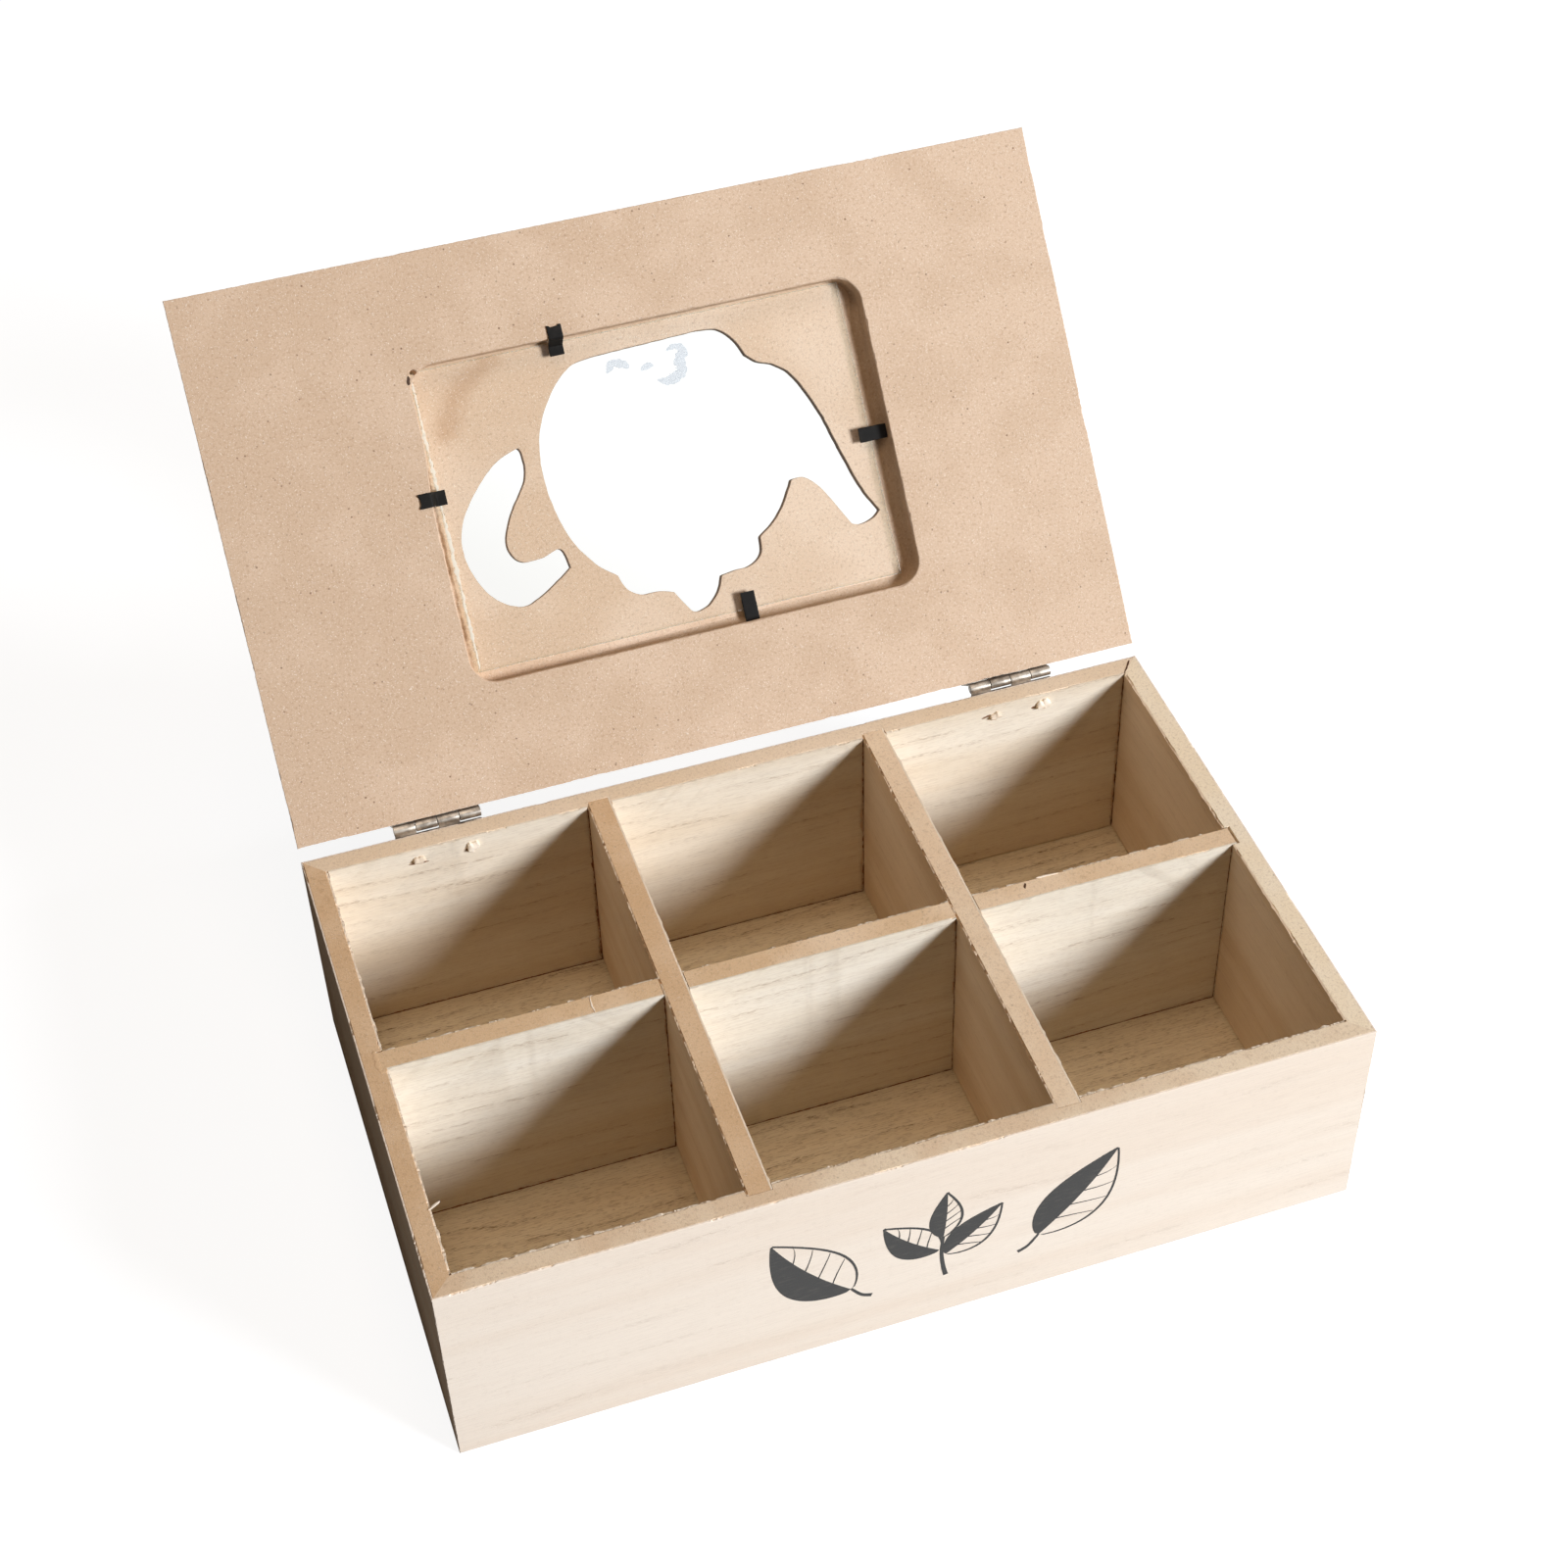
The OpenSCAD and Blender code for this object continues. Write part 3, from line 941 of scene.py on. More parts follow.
@dataclass(frozen=True)
class BoxSizes:
    """The sizes that the boards share, in metres."""

    half_w: float
    half_d: float
    height: float
    wall: float = 0.006
    floor: float = 0.003
    rabbet: float = 0.003
    divider: float = 0.0064
    cross_x: float = 0.0394
    groove: float = 0.002
    groove_half: float = 0.0033
    slot_half: float = 0.00335
    slot_z: float = 0.0335
    skin: float = 0.00045

    @classmethod
    def measured(cls) -> "BoxSizes":
        """Takes the outer sizes from the CAD nodes of the walls."""
        low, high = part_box("front_wall")
        return cls(half_w=high.x, half_d=-low.y, height=high.z)

    @property
    def inner_w(self) -> float:
        """Half the clear width between the side walls."""
        return self.half_w - self.wall

    @property
    def inner_d(self) -> float:
        """Half the clear depth between the front and back walls."""
        return self.half_d - self.wall


class Tone:
    """The colours of the boards."""

    CREAM = paint(248, 232, 213)
    CREAM_DEEP = paint(243, 224, 203)
    GRAIN_BROWN = paint(146, 106, 70)
    INNER = paint(239, 226, 205)
    INNER_DEEP = paint(229, 211, 185)
    DIVIDER = paint(240, 231, 214)
    DIVIDER_DEEP = paint(231, 218, 196)
    SIDE = paint(244, 222, 194)
    SIDE_DEEP = paint(233, 207, 175)
    HIDDEN = paint(235, 216, 191)
    HIDDEN_DEEP = paint(225, 204, 177)
    FLOOR = paint(250, 237, 210)
    FLOOR_DEEP = paint(237, 219, 188)
    FLOOR_GRAIN = paint(130, 94, 60)
    BOARD = paint(221, 184, 142)
    BOARD_PALE = paint(230, 196, 157)
    BOARD_DARK = paint(150, 108, 70)
    FACE = paint(205, 177, 149)
    FACE_PALE = paint(214, 187, 160)
    FACE_DARK = paint(160, 118, 86)


# ---- Sub-assemblies -------------------------------------------------------------------


@dataclass
class Wall:
    """One mitred wall: a fibreboard core between an outer veneer and inner panels of veneer."""

    node: str
    side: Side
    half: float
    grooves: tuple[float, ...]
    sizes: BoxSizes
    core: Fibreboard
    outer: Veneer
    inner: Veneer
    outer_wear: EdgeWear
    inner_wear: EdgeWear
    corner_gap: float = 0.0
    bulge: float = 0.0
    step: float = 0.0008
    ease: float = 0.0001

    def stations(self) -> tuple[Array, Array]:
        """Gives the places of the core's profile along the wall, and how deep its inner face lies there.

        The inner face steps back to the groove's floor between the two sides of each
        groove; a station stands just before and one just after every step.

        Returns:
            Distances along the wall, and the inner face's depths.
        """
        s = self.sizes
        edges = np.sort([g + k * s.groove_half for g in self.grooves for k in (-1, 1)])
        plain = np.arange(-self.half, self.half + 1e-6, self.step)
        plain = plain[np.abs(plain[:, None] - edges).min(1) > 2e-4]
        at = np.sort(np.concatenate([plain, edges - 1e-5, edges + 1e-5, [self.half]]))
        at = at[np.concatenate([[True], np.diff(at) > 1e-6])]
        cut = (np.abs(at[:, None] - np.array(self.grooves)) < s.groove_half).any(1)
        return at, np.where(cut, s.wall - s.groove, s.wall - s.skin)

    def build_core(self) -> None:
        """Builds the core: a profile with a rabbet for the base, carried along the wall.

        Near its ends, a point's distance along the wall shrinks in proportion, so that
        the last station lies on the 45 degree mitre, where distance plus depth is the
        half length. The top corners are broken by fine wear.
        """
        s = self.sizes
        at, inner = self.stations()
        wear = EdgeWear(0.00012, 0.0003, 0.009, 0.3, self.core.seed + 40).depth(at + 1)
        foot, sill, top = np.zeros_like(at), np.full_like(at, s.floor), np.full_like(at, s.height - 0.00003)
        face, rabbet = np.full_like(at, s.skin), np.full_like(at, s.rabbet)
        depth = np.stack([face, face, face + self.ease, inner - wear, inner, inner, rabbet, rabbet], 1)
        up = np.stack([foot, top - self.ease, top, top, top - wear, sill, sill, foot], 1)
        knee = self.half - s.wall - 0.002
        beyond = np.maximum(np.abs(at) - knee, 0)[:, None]
        shrunk = beyond * (self.half - depth - knee) / (self.half - knee)
        reach = np.minimum(np.abs(at), knee)[:, None] + shrunk
        shell = Shell(f"{self.node}_core")
        shell.tube(self.side.place(np.sign(at)[:, None] * reach, depth, up))
        shell.build([self.core], "box", [self.node], "veneered_board")

    def build_outer(self) -> None:
        """Builds the outer veneer: a sheet over the whole face, mitred at both ends, broken at its top."""
        s = self.sizes
        upright = replace(self.outer_wear, bite=self.outer_wear.bite * 0.5, seed=self.outer_wear.seed + 9)
        corners = rectangle(-self.half, 0.0, self.half, s.height)
        outline = Outline.polygon(corners, 0.0004, [None, upright, self.outer_wear, upright])
        rows = [(0.00012, 0.0), (0.00003, 0.00005), (0.0, 0.00014), (0.0, s.skin)]

        def place(points: Array, depth: Array) -> Array:
            """Draws the ends in by the depth, so that they follow the mitre."""
            return self.side.place(points[:, 0] * (1 - depth / self.half), depth, points[:, 1])

        shell = Shell(f"{self.node}_outer_veneer")
        shell.plate(outline, rows, place)
        shell.build([self.outer], "box", [self.node], "veneered_board")

    def build_inner(self) -> None:
        """Builds the inner veneer: one sheet for each compartment.

        Its top edge is broken and bulges a little off the core, and its upright edges
        are ragged, with a gap beside each groove.
        """
        s = self.sizes
        shell = Shell(f"{self.node}_inner_veneer")
        end = self.half - s.wall
        ends = [-end, *(g + k * s.groove_half for g in sorted(self.grooves) for k in (-1, 1)), end]
        gap_comes_last = self.side.along[0] > 0 or self.side.along[1] < 0
        for number, (start, stop) in enumerate(zip(ends[::2], ends[1::2])):
            seed = self.inner_wear.seed + 17 * number
            gap = EdgeWear(self.corner_gap * 0.7, self.corner_gap, 0.016, 0.5, seed + 5)
            slim = EdgeWear(0.0002, 0.0002, 0.02, 0.3, seed + 6)
            foot = EdgeWear(0.0002, 0.0003, 0.010, 0.4, seed + 11)
            last, first = (gap, slim) if gap_comes_last else (slim, gap)
            corners = rectangle(start + 0.00012, s.floor + 0.0003, stop - 0.00012, s.height)
            wears = [foot, last, replace(self.inner_wear, seed=seed), first]
            outline = Outline.polygon(corners, 0.0004, wears)
            high = np.clip((outline.points[:, 1] - s.height + 0.002) / 0.002, 0, 1)
            loose = np.clip(value_noise(outline.along(), 0.0018, seed + 8) * 1.8 - 0.5, 0, 1)
            rim = s.wall + self.bulge * high * loose
            rows = [(0.0005, s.wall), (0.00004, rim), (0.0, s.wall - self.ease), (0.0, s.wall - s.skin)]
            shell.plate(outline, rows, self.side.face)
        shell.build([self.inner], "box", [self.node], "veneered_board")

    def build(self) -> None:
        """Builds the whole wall."""
        self.build_core()
        self.build_outer()
        self.build_inner()


@dataclass
class Divider:
    """One divider: a core and two veneers, slotted where it crosses the others."""

    node: str
    side: Side
    start: float
    stop: float
    crossings: tuple[float, ...]
    slots_open_up: bool
    sizes: BoxSizes
    core: Fibreboard
    near_skin: Veneer
    far_skin: Veneer
    near_wear: EdgeWear
    far_wear: EdgeWear

    def corners(self, foot: float) -> list[Point]:
        """The outline of the board from its side, anticlockwise, with its slots and its foot at a height."""
        s = self.sizes
        mouth = s.height if self.slots_open_up else foot
        cut = [
            (at + side * s.slot_half, z)
            for at in sorted(self.crossings)
            for side, z in ((-1, mouth), (-1, s.slot_z), (1, s.slot_z), (1, mouth))
        ]
        near_foot, far_foot, far_top, near_top = rectangle(self.start, foot, self.stop, s.height)
        if self.slots_open_up:
            return [near_foot, far_foot, far_top, *reversed(cut), near_top]
        return [near_foot, *cut, far_foot, far_top, near_top]

    def build_veneer(self, name: str, skin: Veneer, wear: EdgeWear, face: float, back: float) -> None:
        """Builds one veneer.

        It is the slotted outline, with its sides at the rim broken, those at the slots
        torn, and the others finely rough. It ends a little above the floor.

        Args:
            name: Which of the two it is.
            skin: Its finish.
            wear: How its sides at the rim are broken.
            face: The depth of its outer face.
            back: The depth of its glued face.
        """
        s = self.sizes
        corners = self.corners(s.floor + 0.0003)
        spots = np.asarray(corners)
        ahead = np.roll(spots, -1, axis=0)
        rim = (spots[:, 1] > s.height - 1e-6) & (ahead[:, 1] > s.height - 1e-6)
        upright = np.abs(ahead[:, 0] - spots[:, 0]) < 1e-6
        upright &= (spots[:, 0] > self.start) & (spots[:, 0] < self.stop)
        rough = EdgeWear(0.0002, 0.0002, 0.01, 0.4, wear.seed + 3)
        torn = EdgeWear(0.00025, 0.0005, 0.012, 0.5, wear.seed + 4)
        wears = [wear if high else torn if slot else rough for high, slot in zip(rim, upright)]
        outline = Outline.polygon(corners, 0.0004, wears)
        inward = 1.0 if back > face else -1.0
        proud = np.where(outline.points[:, 1] > s.height - 0.0012, 1.0, 0.0)
        lift = proud * 0.00022 * np.clip(value_noise(outline.along(), 0.002, wear.seed + 8) * 2 - 0.9, 0, 1)
        rows = [(0.0004, face), (0.00003, face - inward * lift), (0.0, face + inward * 0.00009), (0.0, back)]
        shell = Shell(f"{self.node}_{name}_veneer")
        shell.plate(outline, rows, self.side.face)
        shell.build([skin], "box", [self.node], "veneered_board")

    def build(self) -> None:
        """Builds the core, which is the slotted outline with straight edges, and the two veneers."""
        s = self.sizes
        shell = Shell(f"{self.node}_core")
        outline = Outline.polygon(self.corners(s.floor + 0.00005), 0.002)
        shell.plate(outline, [(0.00003, s.skin), (0.00003, s.divider - s.skin)], self.side.face)
        shell.build([self.core], "box", [self.node], "veneered_board")
        self.build_veneer("near", self.near_skin, self.near_wear, 0.0, s.skin)
        self.build_veneer("far", self.far_skin, self.far_wear, s.divider, s.divider - s.skin)


@dataclass
class Floor:
    """The base board in the walls' rabbet: veneer above, fibreboard below."""

    sizes: BoxSizes
    top: Veneer
    under: Fibreboard
    play: float = 0.00005
    ease: float = 0.0002

    def build(self) -> None:
        """Builds the board as one plate with eased edges."""
        s = self.sizes
        x, y = s.half_w - s.rabbet - self.play, s.half_d - s.rabbet - self.play
        outline = Outline.polygon(rectangle(-x, -y, x, y), 0.004)
        rows = [(self.ease, s.floor), (0.0, s.floor - self.ease), (0.0, self.ease), (self.ease, 0.0)]
        shell = Shell("base_board")
        shell.plate(outline, rows, Placement().plan(0.0), (0, 1, 1))
        shell.build([self.top, self.under], "box", ["base_panel"], "base_board")


@dataclass
class Teapot:
    """The window's outline, in strokes that meet at its corners, in millimetres."""

    belly: tuple[Point, ...] = (
        (-18.4, 22.8), (-24, 18), (-29.5, 8.5), (-32.2, -6), (-30.6, -19), (-25, -29), (-18.6, -34.9),
        (-12, -36.4),
    )
    foot: tuple[Point, ...] = ((18.5, -37.4), (24, -36.4), (28, -32.5), (30, -28.2))
    spout_under: tuple[Point, ...] = (
        (30, -28.2), (32.8, -25.8), (37.6, -23.8), (42, -19.6), (47, -9), (50.2, 2), (54, 14), (57.8, 21.4)
    )
    mouth: tuple[Point, ...] = ((57.8, 21.4), (55.4, 23.2), (51.5, 24), (49.2, 23.4))
    spout_over: tuple[Point, ...] = ((49.2, 23.4), (45.8, 17.2), (42.4, 11.4), (38.6, 7.9), (35, 7.8))
    shoulder: tuple[Point, ...] = ((35, 7.8), (31.4, 13.6), (27.6, 17.8), (22.8, 21.2))
    cover_right: tuple[Point, ...] = ((22.8, 21.2), (22, 25.6), (18.6, 28.2), (13.6, 28.6), (9.8, 29.2))
    knob: tuple[Point, ...] = ((9.8, 29.2), (7.6, 33.6), (4, 36.6), (0, 37.1), (-2, 34.4), (-4.2, 30.6))
    cover_left: tuple[Point, ...] = ((-4.2, 30.6), (-8, 29.5), (-13.4, 29.2), (-17, 26.6), (-18.4, 22.8))
    handle_outer: tuple[Point, ...] = (
        (-37.4, -16.7), (-44.6, -13.7), (-52.4, -6.2), (-57.2, 1.6), (-57.8, 10.6), (-53.6, 20.4),
        (-46, 25.2), (-38.8, 22.9), (-30.6, 17.8),
    )
    handle_inner: tuple[Point, ...] = (
        (-30.6, 17.8), (-32.2, 12.4), (-38, 13.7), (-43.8, 13.2), (-46.2, 8), (-43.4, 0.6), (-37.4, -8),
        (-36.6, -14.6), (-37.4, -16.7),
    )

    def outlines(self) -> list[Outline]:
        """The outlines of the pot and of its handle's opening, in metres, with the saw's slight wander.

        The belly's last point and the foot's first are joined by the pot's straight base.
        """
        pot = (
            self.foot, self.spout_under, self.mouth, self.spout_over, self.shoulder, self.cover_right,
            self.knob, self.cover_left,
        )
        base = np.array([self.belly[-1]])
        rings = (
            (61, [smooth_stroke(self.belly), base, *map(smooth_stroke, pot)]),
            (62, [smooth_stroke(self.handle_outer), smooth_stroke(self.handle_inner)]),
        )
        made = []
        for seed, strokes in rings:
            outline = Outline.curve(np.concatenate(strokes) / 1000, 0.0005)
            made.append(outline.moved_in(0.00006 * value_noise(outline.along(), 0.0016, seed)))
        return made


@dataclass
class Lid:
    """The lid board: raw fibreboard inside, with the window's recess, and veneer outside."""

    placement: Placement
    face: Fibreboard
    recess: Fibreboard
    edge: Fibreboard
    rim: Fibreboard
    skin: Veneer
    teapot: Teapot = field(default_factory=Teapot)
    half_w: float = 0.120
    front: float = -0.073
    back: float = 0.074
    low: float = LID_FACE
    thick: float = 0.009
    recess_w: float = 0.128
    recess_d: float = 0.086
    recess_r: float = 0.007
    recess_deep: float = 0.006
    relief: tuple[float, float, float] = (-0.0609, -0.0415, 0.00102)
    lean: float = 0.0016
    foot: float = 0.0005
    right_foot: float = 0.0028
    veneer: float = 0.00045
    draft: float = 0.00045
    ease: float = 0.00015

    def recess_outline(self) -> Outline:
        """Gives the recess's outline: a rounded rectangle with a drilled relief in one corner.

        The left side is routed further in by the lean where y is below -0.024, and eases
        back to the rectangle at -0.004. The part that lies in the relief's circle is
        replaced by the part of the circle that lies outside.

        Returns:
            The outline.
        """
        ring = Outline.curve(rounded_rectangle(self.recess_w, self.recess_d, self.recess_r), 0.0002).points
        leaning = ((-0.004 - ring[:, 1]) / 0.020).clip(0, 1)
        ring[:, 0] += self.lean * leaning**2 * (3 - 2 * leaning) * ((-ring[:, 0] - 0.035) / 0.02).clip(0, 1)
        centre, radius = np.array(self.relief[:2]), self.relief[2]
        away = np.linalg.norm(ring - centre, axis=1) > radius
        first = int(np.flatnonzero(away & ~np.roll(away, 1))[0])
        kept = np.roll(ring, -first, axis=0)[: int(away.sum())]
        start, stop = (math.atan2(*(p - centre)[::-1]) for p in (kept[-1], kept[0]))
        turns = np.linspace(start, start + (stop - start) % (2 * math.pi), 18)[1:-1]
        arc = centre + radius * np.stack([np.cos(turns), np.sin(turns)], 1)
        outline = Outline.curve(np.concatenate([kept, arc]), 0.0005)
        return outline.moved_in(0.00005 * value_noise(outline.along(), 0.002, 71))

    def cove(self, pocket: Outline) -> Array:
        """Gives the radius of the recess's rounded foot at each point of its outline.

        It is small along the front and left sides, grows from left to right along the
        back, and is greatest along the right side, which the glass doesn't reach.

        Args:
            pocket: The recess's outline.

        Returns:
            The radii.
        """
        x, y = pocket.points.T
        grown = (self.right_foot - self.foot) * ((x + 0.040) / 0.075).clip(0, 1)
        return self.foot + grown * ((y + 0.043) / 0.012).clip(0, 1)

    def build_core(self) -> None:
        """Builds the board: inner face, recess and cut-outs, closed against the veneer.

        The outer edge is a profile with broken corners carried round the board. The
        recess and cut-out walls are their outlines carried down, with an eased lip.
        """
        place = self.placement.plan(self.low)
        deep, back = self.recess_deep, self.thick - self.veneer
        corners = rectangle(-self.half_w, self.front, self.half_w, self.back)
        rim = Outline.polygon(corners, 0.0006, four_wears(0.00010, 0.00022, 0.02, 0.2, 80))
        lip = 0.00008 + EdgeWear(0.00005, 0.0002, 0.012, 0.25, 90).depth(rim.along())
        pocket = self.recess_outline()
        fuzz = 0.0002 + EdgeWear(0.00012, 0.0003, 0.01, 0.25, 95).depth(pocket.along())
        cuts = self.teapot.outlines()
        shell = Shell("lid_board")
        # The outer edge takes the rim finish, made paler as painted light against the shade on this edge.
        shell.edge(rim, [(lip, 0.0), (0.0, lip), (self.draft, back)], place, 3)
        cove = self.cove(pocket)
        quarter = np.linspace(0, math.pi / 2, 7)
        foot = [(cove * (1 - math.cos(a)), deep - cove * (1 - math.sin(a))) for a in quarter]
        shell.edge(pocket, [(-fuzz, 0.0), (0.0, fuzz), *foot], place, 2)
        for cut in cuts:
            shell.edge(cut, [(-self.ease, deep), (0.0, deep + self.ease), (0.0, back)], place, 2)
        shell.fill([rim.moved_in(lip).points, pocket.moved_in(-fuzz).points], place, 0.0, 0)
        mouths = [cut.moved_in(-self.ease).points for cut in cuts]
        shell.fill([pocket.moved_in(cove).points, *mouths], place, deep, 1)
        shell.fill([rim.moved_in(self.draft).points, *(cut.points for cut in cuts)], place, back, 2)
        finishes = [self.face, self.recess, self.edge, self.rim]
        shell.build(finishes, "lid", ["lid_panel"], "raw_fibreboard")

    def build_skin(self) -> None:
        """Builds the outer veneer, cut with the same outlines as the board."""
        corners = rectangle(-self.half_w, self.front, self.half_w, self.back)
        rim = Outline.polygon(corners, 0.0005, four_wears(0.00010, 0.00045, 0.012, 0.25, 110))
        rows = [(0.00012, self.thick), (0.0, self.thick - 0.00012), (0.0, self.thick - self.veneer)]
        shell = Shell("lid_outer_veneer")
        shell.plate(
            rim.moved_in(self.draft), rows, self.placement.plan(self.low), holes=self.teapot.outlines()
        )
        shell.build([self.skin], "lid", ["lid_panel"], "raw_fibreboard")

    def build(self) -> None:
        """Builds the board and its veneer."""
        self.build_core()
        self.build_skin()


@dataclass
class Pane:
    """The window glass: a clear sheet with ground, slightly chipped edges."""

    placement: Placement
    glass: ClearGlass
    ground: GroundGlass
    left: float = -0.0616
    right: float = 0.0594
    front: float = -0.0422
    back: float = 0.0398
    low: float = GLASS_FACE
    thick: float = 0.002
    coarse: float = 0.00045

    def build(self) -> None:
        """Builds the pane: a plate whose edge is a flat with two ground chamfers, coarse on the left."""
        corners = rectangle(self.left, self.front, self.right, self.back)
        rim = Outline.polygon(corners, 0.0005, four_wears(0.00008, 0.0001, 0.006, 0.3, 130))
        coarse = np.where(rim.points[:, 0] < self.left + 0.0004, self.coarse, 0.0)
        grind = 0.0001 + (0.00008 + coarse) * (value_noise(rim.along(), 0.0008, 135) + 0.7).clip(0)
        rows = [(grind, 0.00003), (0.0, grind), (0.0, self.thick - 0.0001), (0.0001, self.thick - 0.00003)]
        shell = Shell("window_pane")
        shell.plate(rim, rows, self.placement.plan(self.low), (0, 1, 0))
        shell.build([self.glass, self.ground], "lid", ["window_glass"], "clear_glass")


@dataclass
class ClipStrip:
    """One glass clip: a strip of thin steel with a round bite out of its outer end."""

    node: str
    place_at: Point
    turn: float
    path: tuple[Point, ...]
    placement: Placement
    metal: Metal
    low: float = LID_FACE
    width: float = 0.004
    thick: float = 0.0005
    bite_r: float = 0.0017
    bite_out: float = 0.0009
    seed: int = 0

    def centreline(self) -> Array:
        """Gives the strip's middle line, as (along, depth), with its bends eased.

        The corners are eased by averaging each fine step with its neighbours, eight times.

        Returns:
            The points.
        """
        spots = np.asarray(self.path, float)
        run = distances(spots)
        at = np.linspace(0, run[-1], 90)
        line = np.stack([np.interp(at, run, spots[:, 0]), np.interp(at, run, spots[:, 1])], 1)
        for _ in range(8):
            line[1:-1] = (line[:-2] + 2 * line[1:-1] + line[2:]) / 4
        return line

    def build(self) -> None:
        """Builds the strip as a rounded section carried along the middle line.

        The section is a super-ellipse of power 8: cosine and sine to the power 1/4. At
        each of its points the line starts later, by as much as the bite's circle reaches
        in there, and the two sides of each end are joined straight across.
        """
        line = self.centreline()
        across = leftward(line)
        length = distances(line)
        turn = np.linspace(0, 2 * math.pi, 48, endpoint=False) + math.pi / 48
        wide, high = (
            np.sign(wave) * np.abs(wave) ** 0.25 * size / 2
            for wave, size in ((np.cos(turn), self.width), (np.sin(turn), self.thick))
        )
        reach = np.sqrt(np.maximum(self.bite_r**2 - wide**2, 0)) - self.bite_out
        late = np.maximum(np.maximum(reach, 0) + 0.00006 * value_noise(wide, 0.0006, self.seed), 0)
        at = late[None] + np.linspace(0, 1, 70)[:, None] * (length[-1] - late[None])
        x, z = (
            np.interp(at, length, line[:, k]) + high * np.interp(at, length, across[:, k]) for k in (0, 1)
        )
        y = np.broadcast_to(wide, x.shape) * (1 + 0.012 * value_noise(at, 0.002, self.seed + 1))
        c, s = math.cos(self.turn), math.sin(self.turn)
        turned = xyz(self.place_at[0] + c * x - s * y, self.place_at[1] + s * x + c * y, self.low + z)
        shell = Shell(f"{self.node}_strip")
        shell.strip(self.placement.apply(turned))
        shell.build([self.metal], "lid", [self.node], "blackened_steel", crease=40.0)


@dataclass
class Clips:
    """The four clips that hold the glass: two bent over the recess edge, two driven into its wall."""

    placement: Placement
    metal: Metal
    bent: tuple[Point, ...] = (
        (-0.0034, -0.00025), (0.00018, -0.00025), (0.00174, 0.00375), (0.0045, 0.00375)
    )
    driven: tuple[Point, ...] = ((-0.004, 0.00375), (0.008, 0.00375))

    def build(self) -> None:
        """Builds the clips at the middle of each side of the recess."""
        for number, (node, spot, degrees, path) in enumerate((
            ("front_glass_clip", (-0.0213, -0.043), 90, self.bent),
            ("left_glass_clip", (-0.064, -0.008), 0, self.bent),
            ("right_glass_clip", (0.064, 0.0003), 180, self.driven),
            ("back_glass_clip", (0.0151, 0.043), -90, self.driven),
        )):
            turn = math.radians(degrees)
            ClipStrip(node, spot, turn, path, self.placement, self.metal, seed=150 + number).build()


@dataclass
class HingeLeaf:
    """One hinge leaf: a plate with two countersunk holes, and two knuckles rolled from its edge.

    It is worked out hanging down from the pin, which lies along x.
    """

    name: str
    node: str
    body: str
    middle: float
    first: int
    upside_down: bool
    placement: Placement
    metal: Metal
    width: float = 0.024
    tall: float = 0.0076
    top: float = 0.0014
    face: float = -0.0009
    thick: float = 0.0008
    count: int = 4
    play: float = 0.00016
    roll: float = 0.00105
    sheet: float = 0.00065
    hole: float = 0.00182
    hole_at: Point = (0.0072, 0.0046)
    ease: float = 0.00008

    def space(self, x: Array, y: Array, z: Array) -> Array:
        """Turns a place beside the pin into a point in space."""
        up = -z if self.upside_down else z
        return self.placement.apply(xyz(self.middle + x, PIN_Y + y, PIN_Z + up))

    def add_plate(self, shell: Shell) -> None:
        """Adds the plate: a rounded rectangle with eased corners, and two cones down through it."""

        def place(points: Array, depth: Array) -> Array:
            """Turns points on the plate's face and depths into space."""
            return self.space(points[:, 0], self.face - depth, points[:, 1])

        ring = rounded_rectangle(self.width, self.tall - self.top, 0.0005) - [0, (self.tall + self.top) / 2]
        turn = np.linspace(0, 2 * math.pi, 40, endpoint=False)
        circle = np.stack([np.cos(turn), np.sin(turn)], 1) * self.hole
        ease, deep = self.ease, self.thick
        rings = [Outline.curve(ring, 0.0004)]
        rows = [[(ease, 0.0), (0.0, ease), (0.0, deep - ease), (ease, deep)]]
        for side in (-1, 1):
            rings.append(Outline.curve(circle + [side * self.hole_at[0], -self.hole_at[1]], 0.0003))
            rows.append([(0.0, 0.0), (deep, deep)])
        for outline, profile in zip(rings, rows):
            shell.edge(outline, profile, place)
        for end, depth in ((0, 0.0), (-1, deep)):
            shell.fill([o.moved_in(r[end][0]).points for o, r in zip(rings, rows)], place, depth)

    def add_knuckle(self, shell: Shell, start: float, stop: float) -> None:
        """Adds one knuckle: a strip that rises from the plate and rolls over the pin.

        Its middle line goes up from the plate, leans in to the roll's radius, and turns
        about the pin from the near side, over the top, to 25 degrees past the bottom.
        The section is that line with half the sheet's thickness on both sides, thinner
        at the knuckle's ends, so that they are eased.

        Args:
            shell: The shell that it goes into.
            start: Where it starts along the pin.
            stop: Where it ends.
        """
        turn = np.linspace(math.pi, -math.pi / 2 - math.radians(25), 40)
        rise = np.linspace(-0.0021, -0.00015, 9)
        lean = np.interp(rise, [-0.0016, -0.0003], [self.face - self.thick / 2, -self.roll])
        roll = np.stack([np.cos(turn), np.sin(turn)], 1) * self.roll
        line = np.concatenate([np.stack([lean, rise], 1), roll])
        across = leftward(line) * self.sheet / 2
        at = np.array([start, start + 0.00005, start + 0.00014, stop - 0.00014, stop - 0.00005, stop])
        share = np.array([0.68, 0.92, 1.0, 1.0, 0.92, 0.68])[:, None, None]
        section = np.concatenate([line + share * across, (line - share * across)[:, ::-1]], 1)
        shell.strip(self.space(at[:, None], section[..., 0], section[..., 1]))

    def build(self) -> None:
        """Builds the leaf."""
        shell = Shell(self.name)
        self.add_plate(shell)
        pitch = self.width / self.count
        for number in range(self.first, self.count, 2):
            start = number * pitch - self.width / 2
            self.add_knuckle(shell, start + self.play / 2, start + pitch - self.play / 2)
        shell.build([self.metal], self.body, [self.node], "plated_steel", crease=35.0)


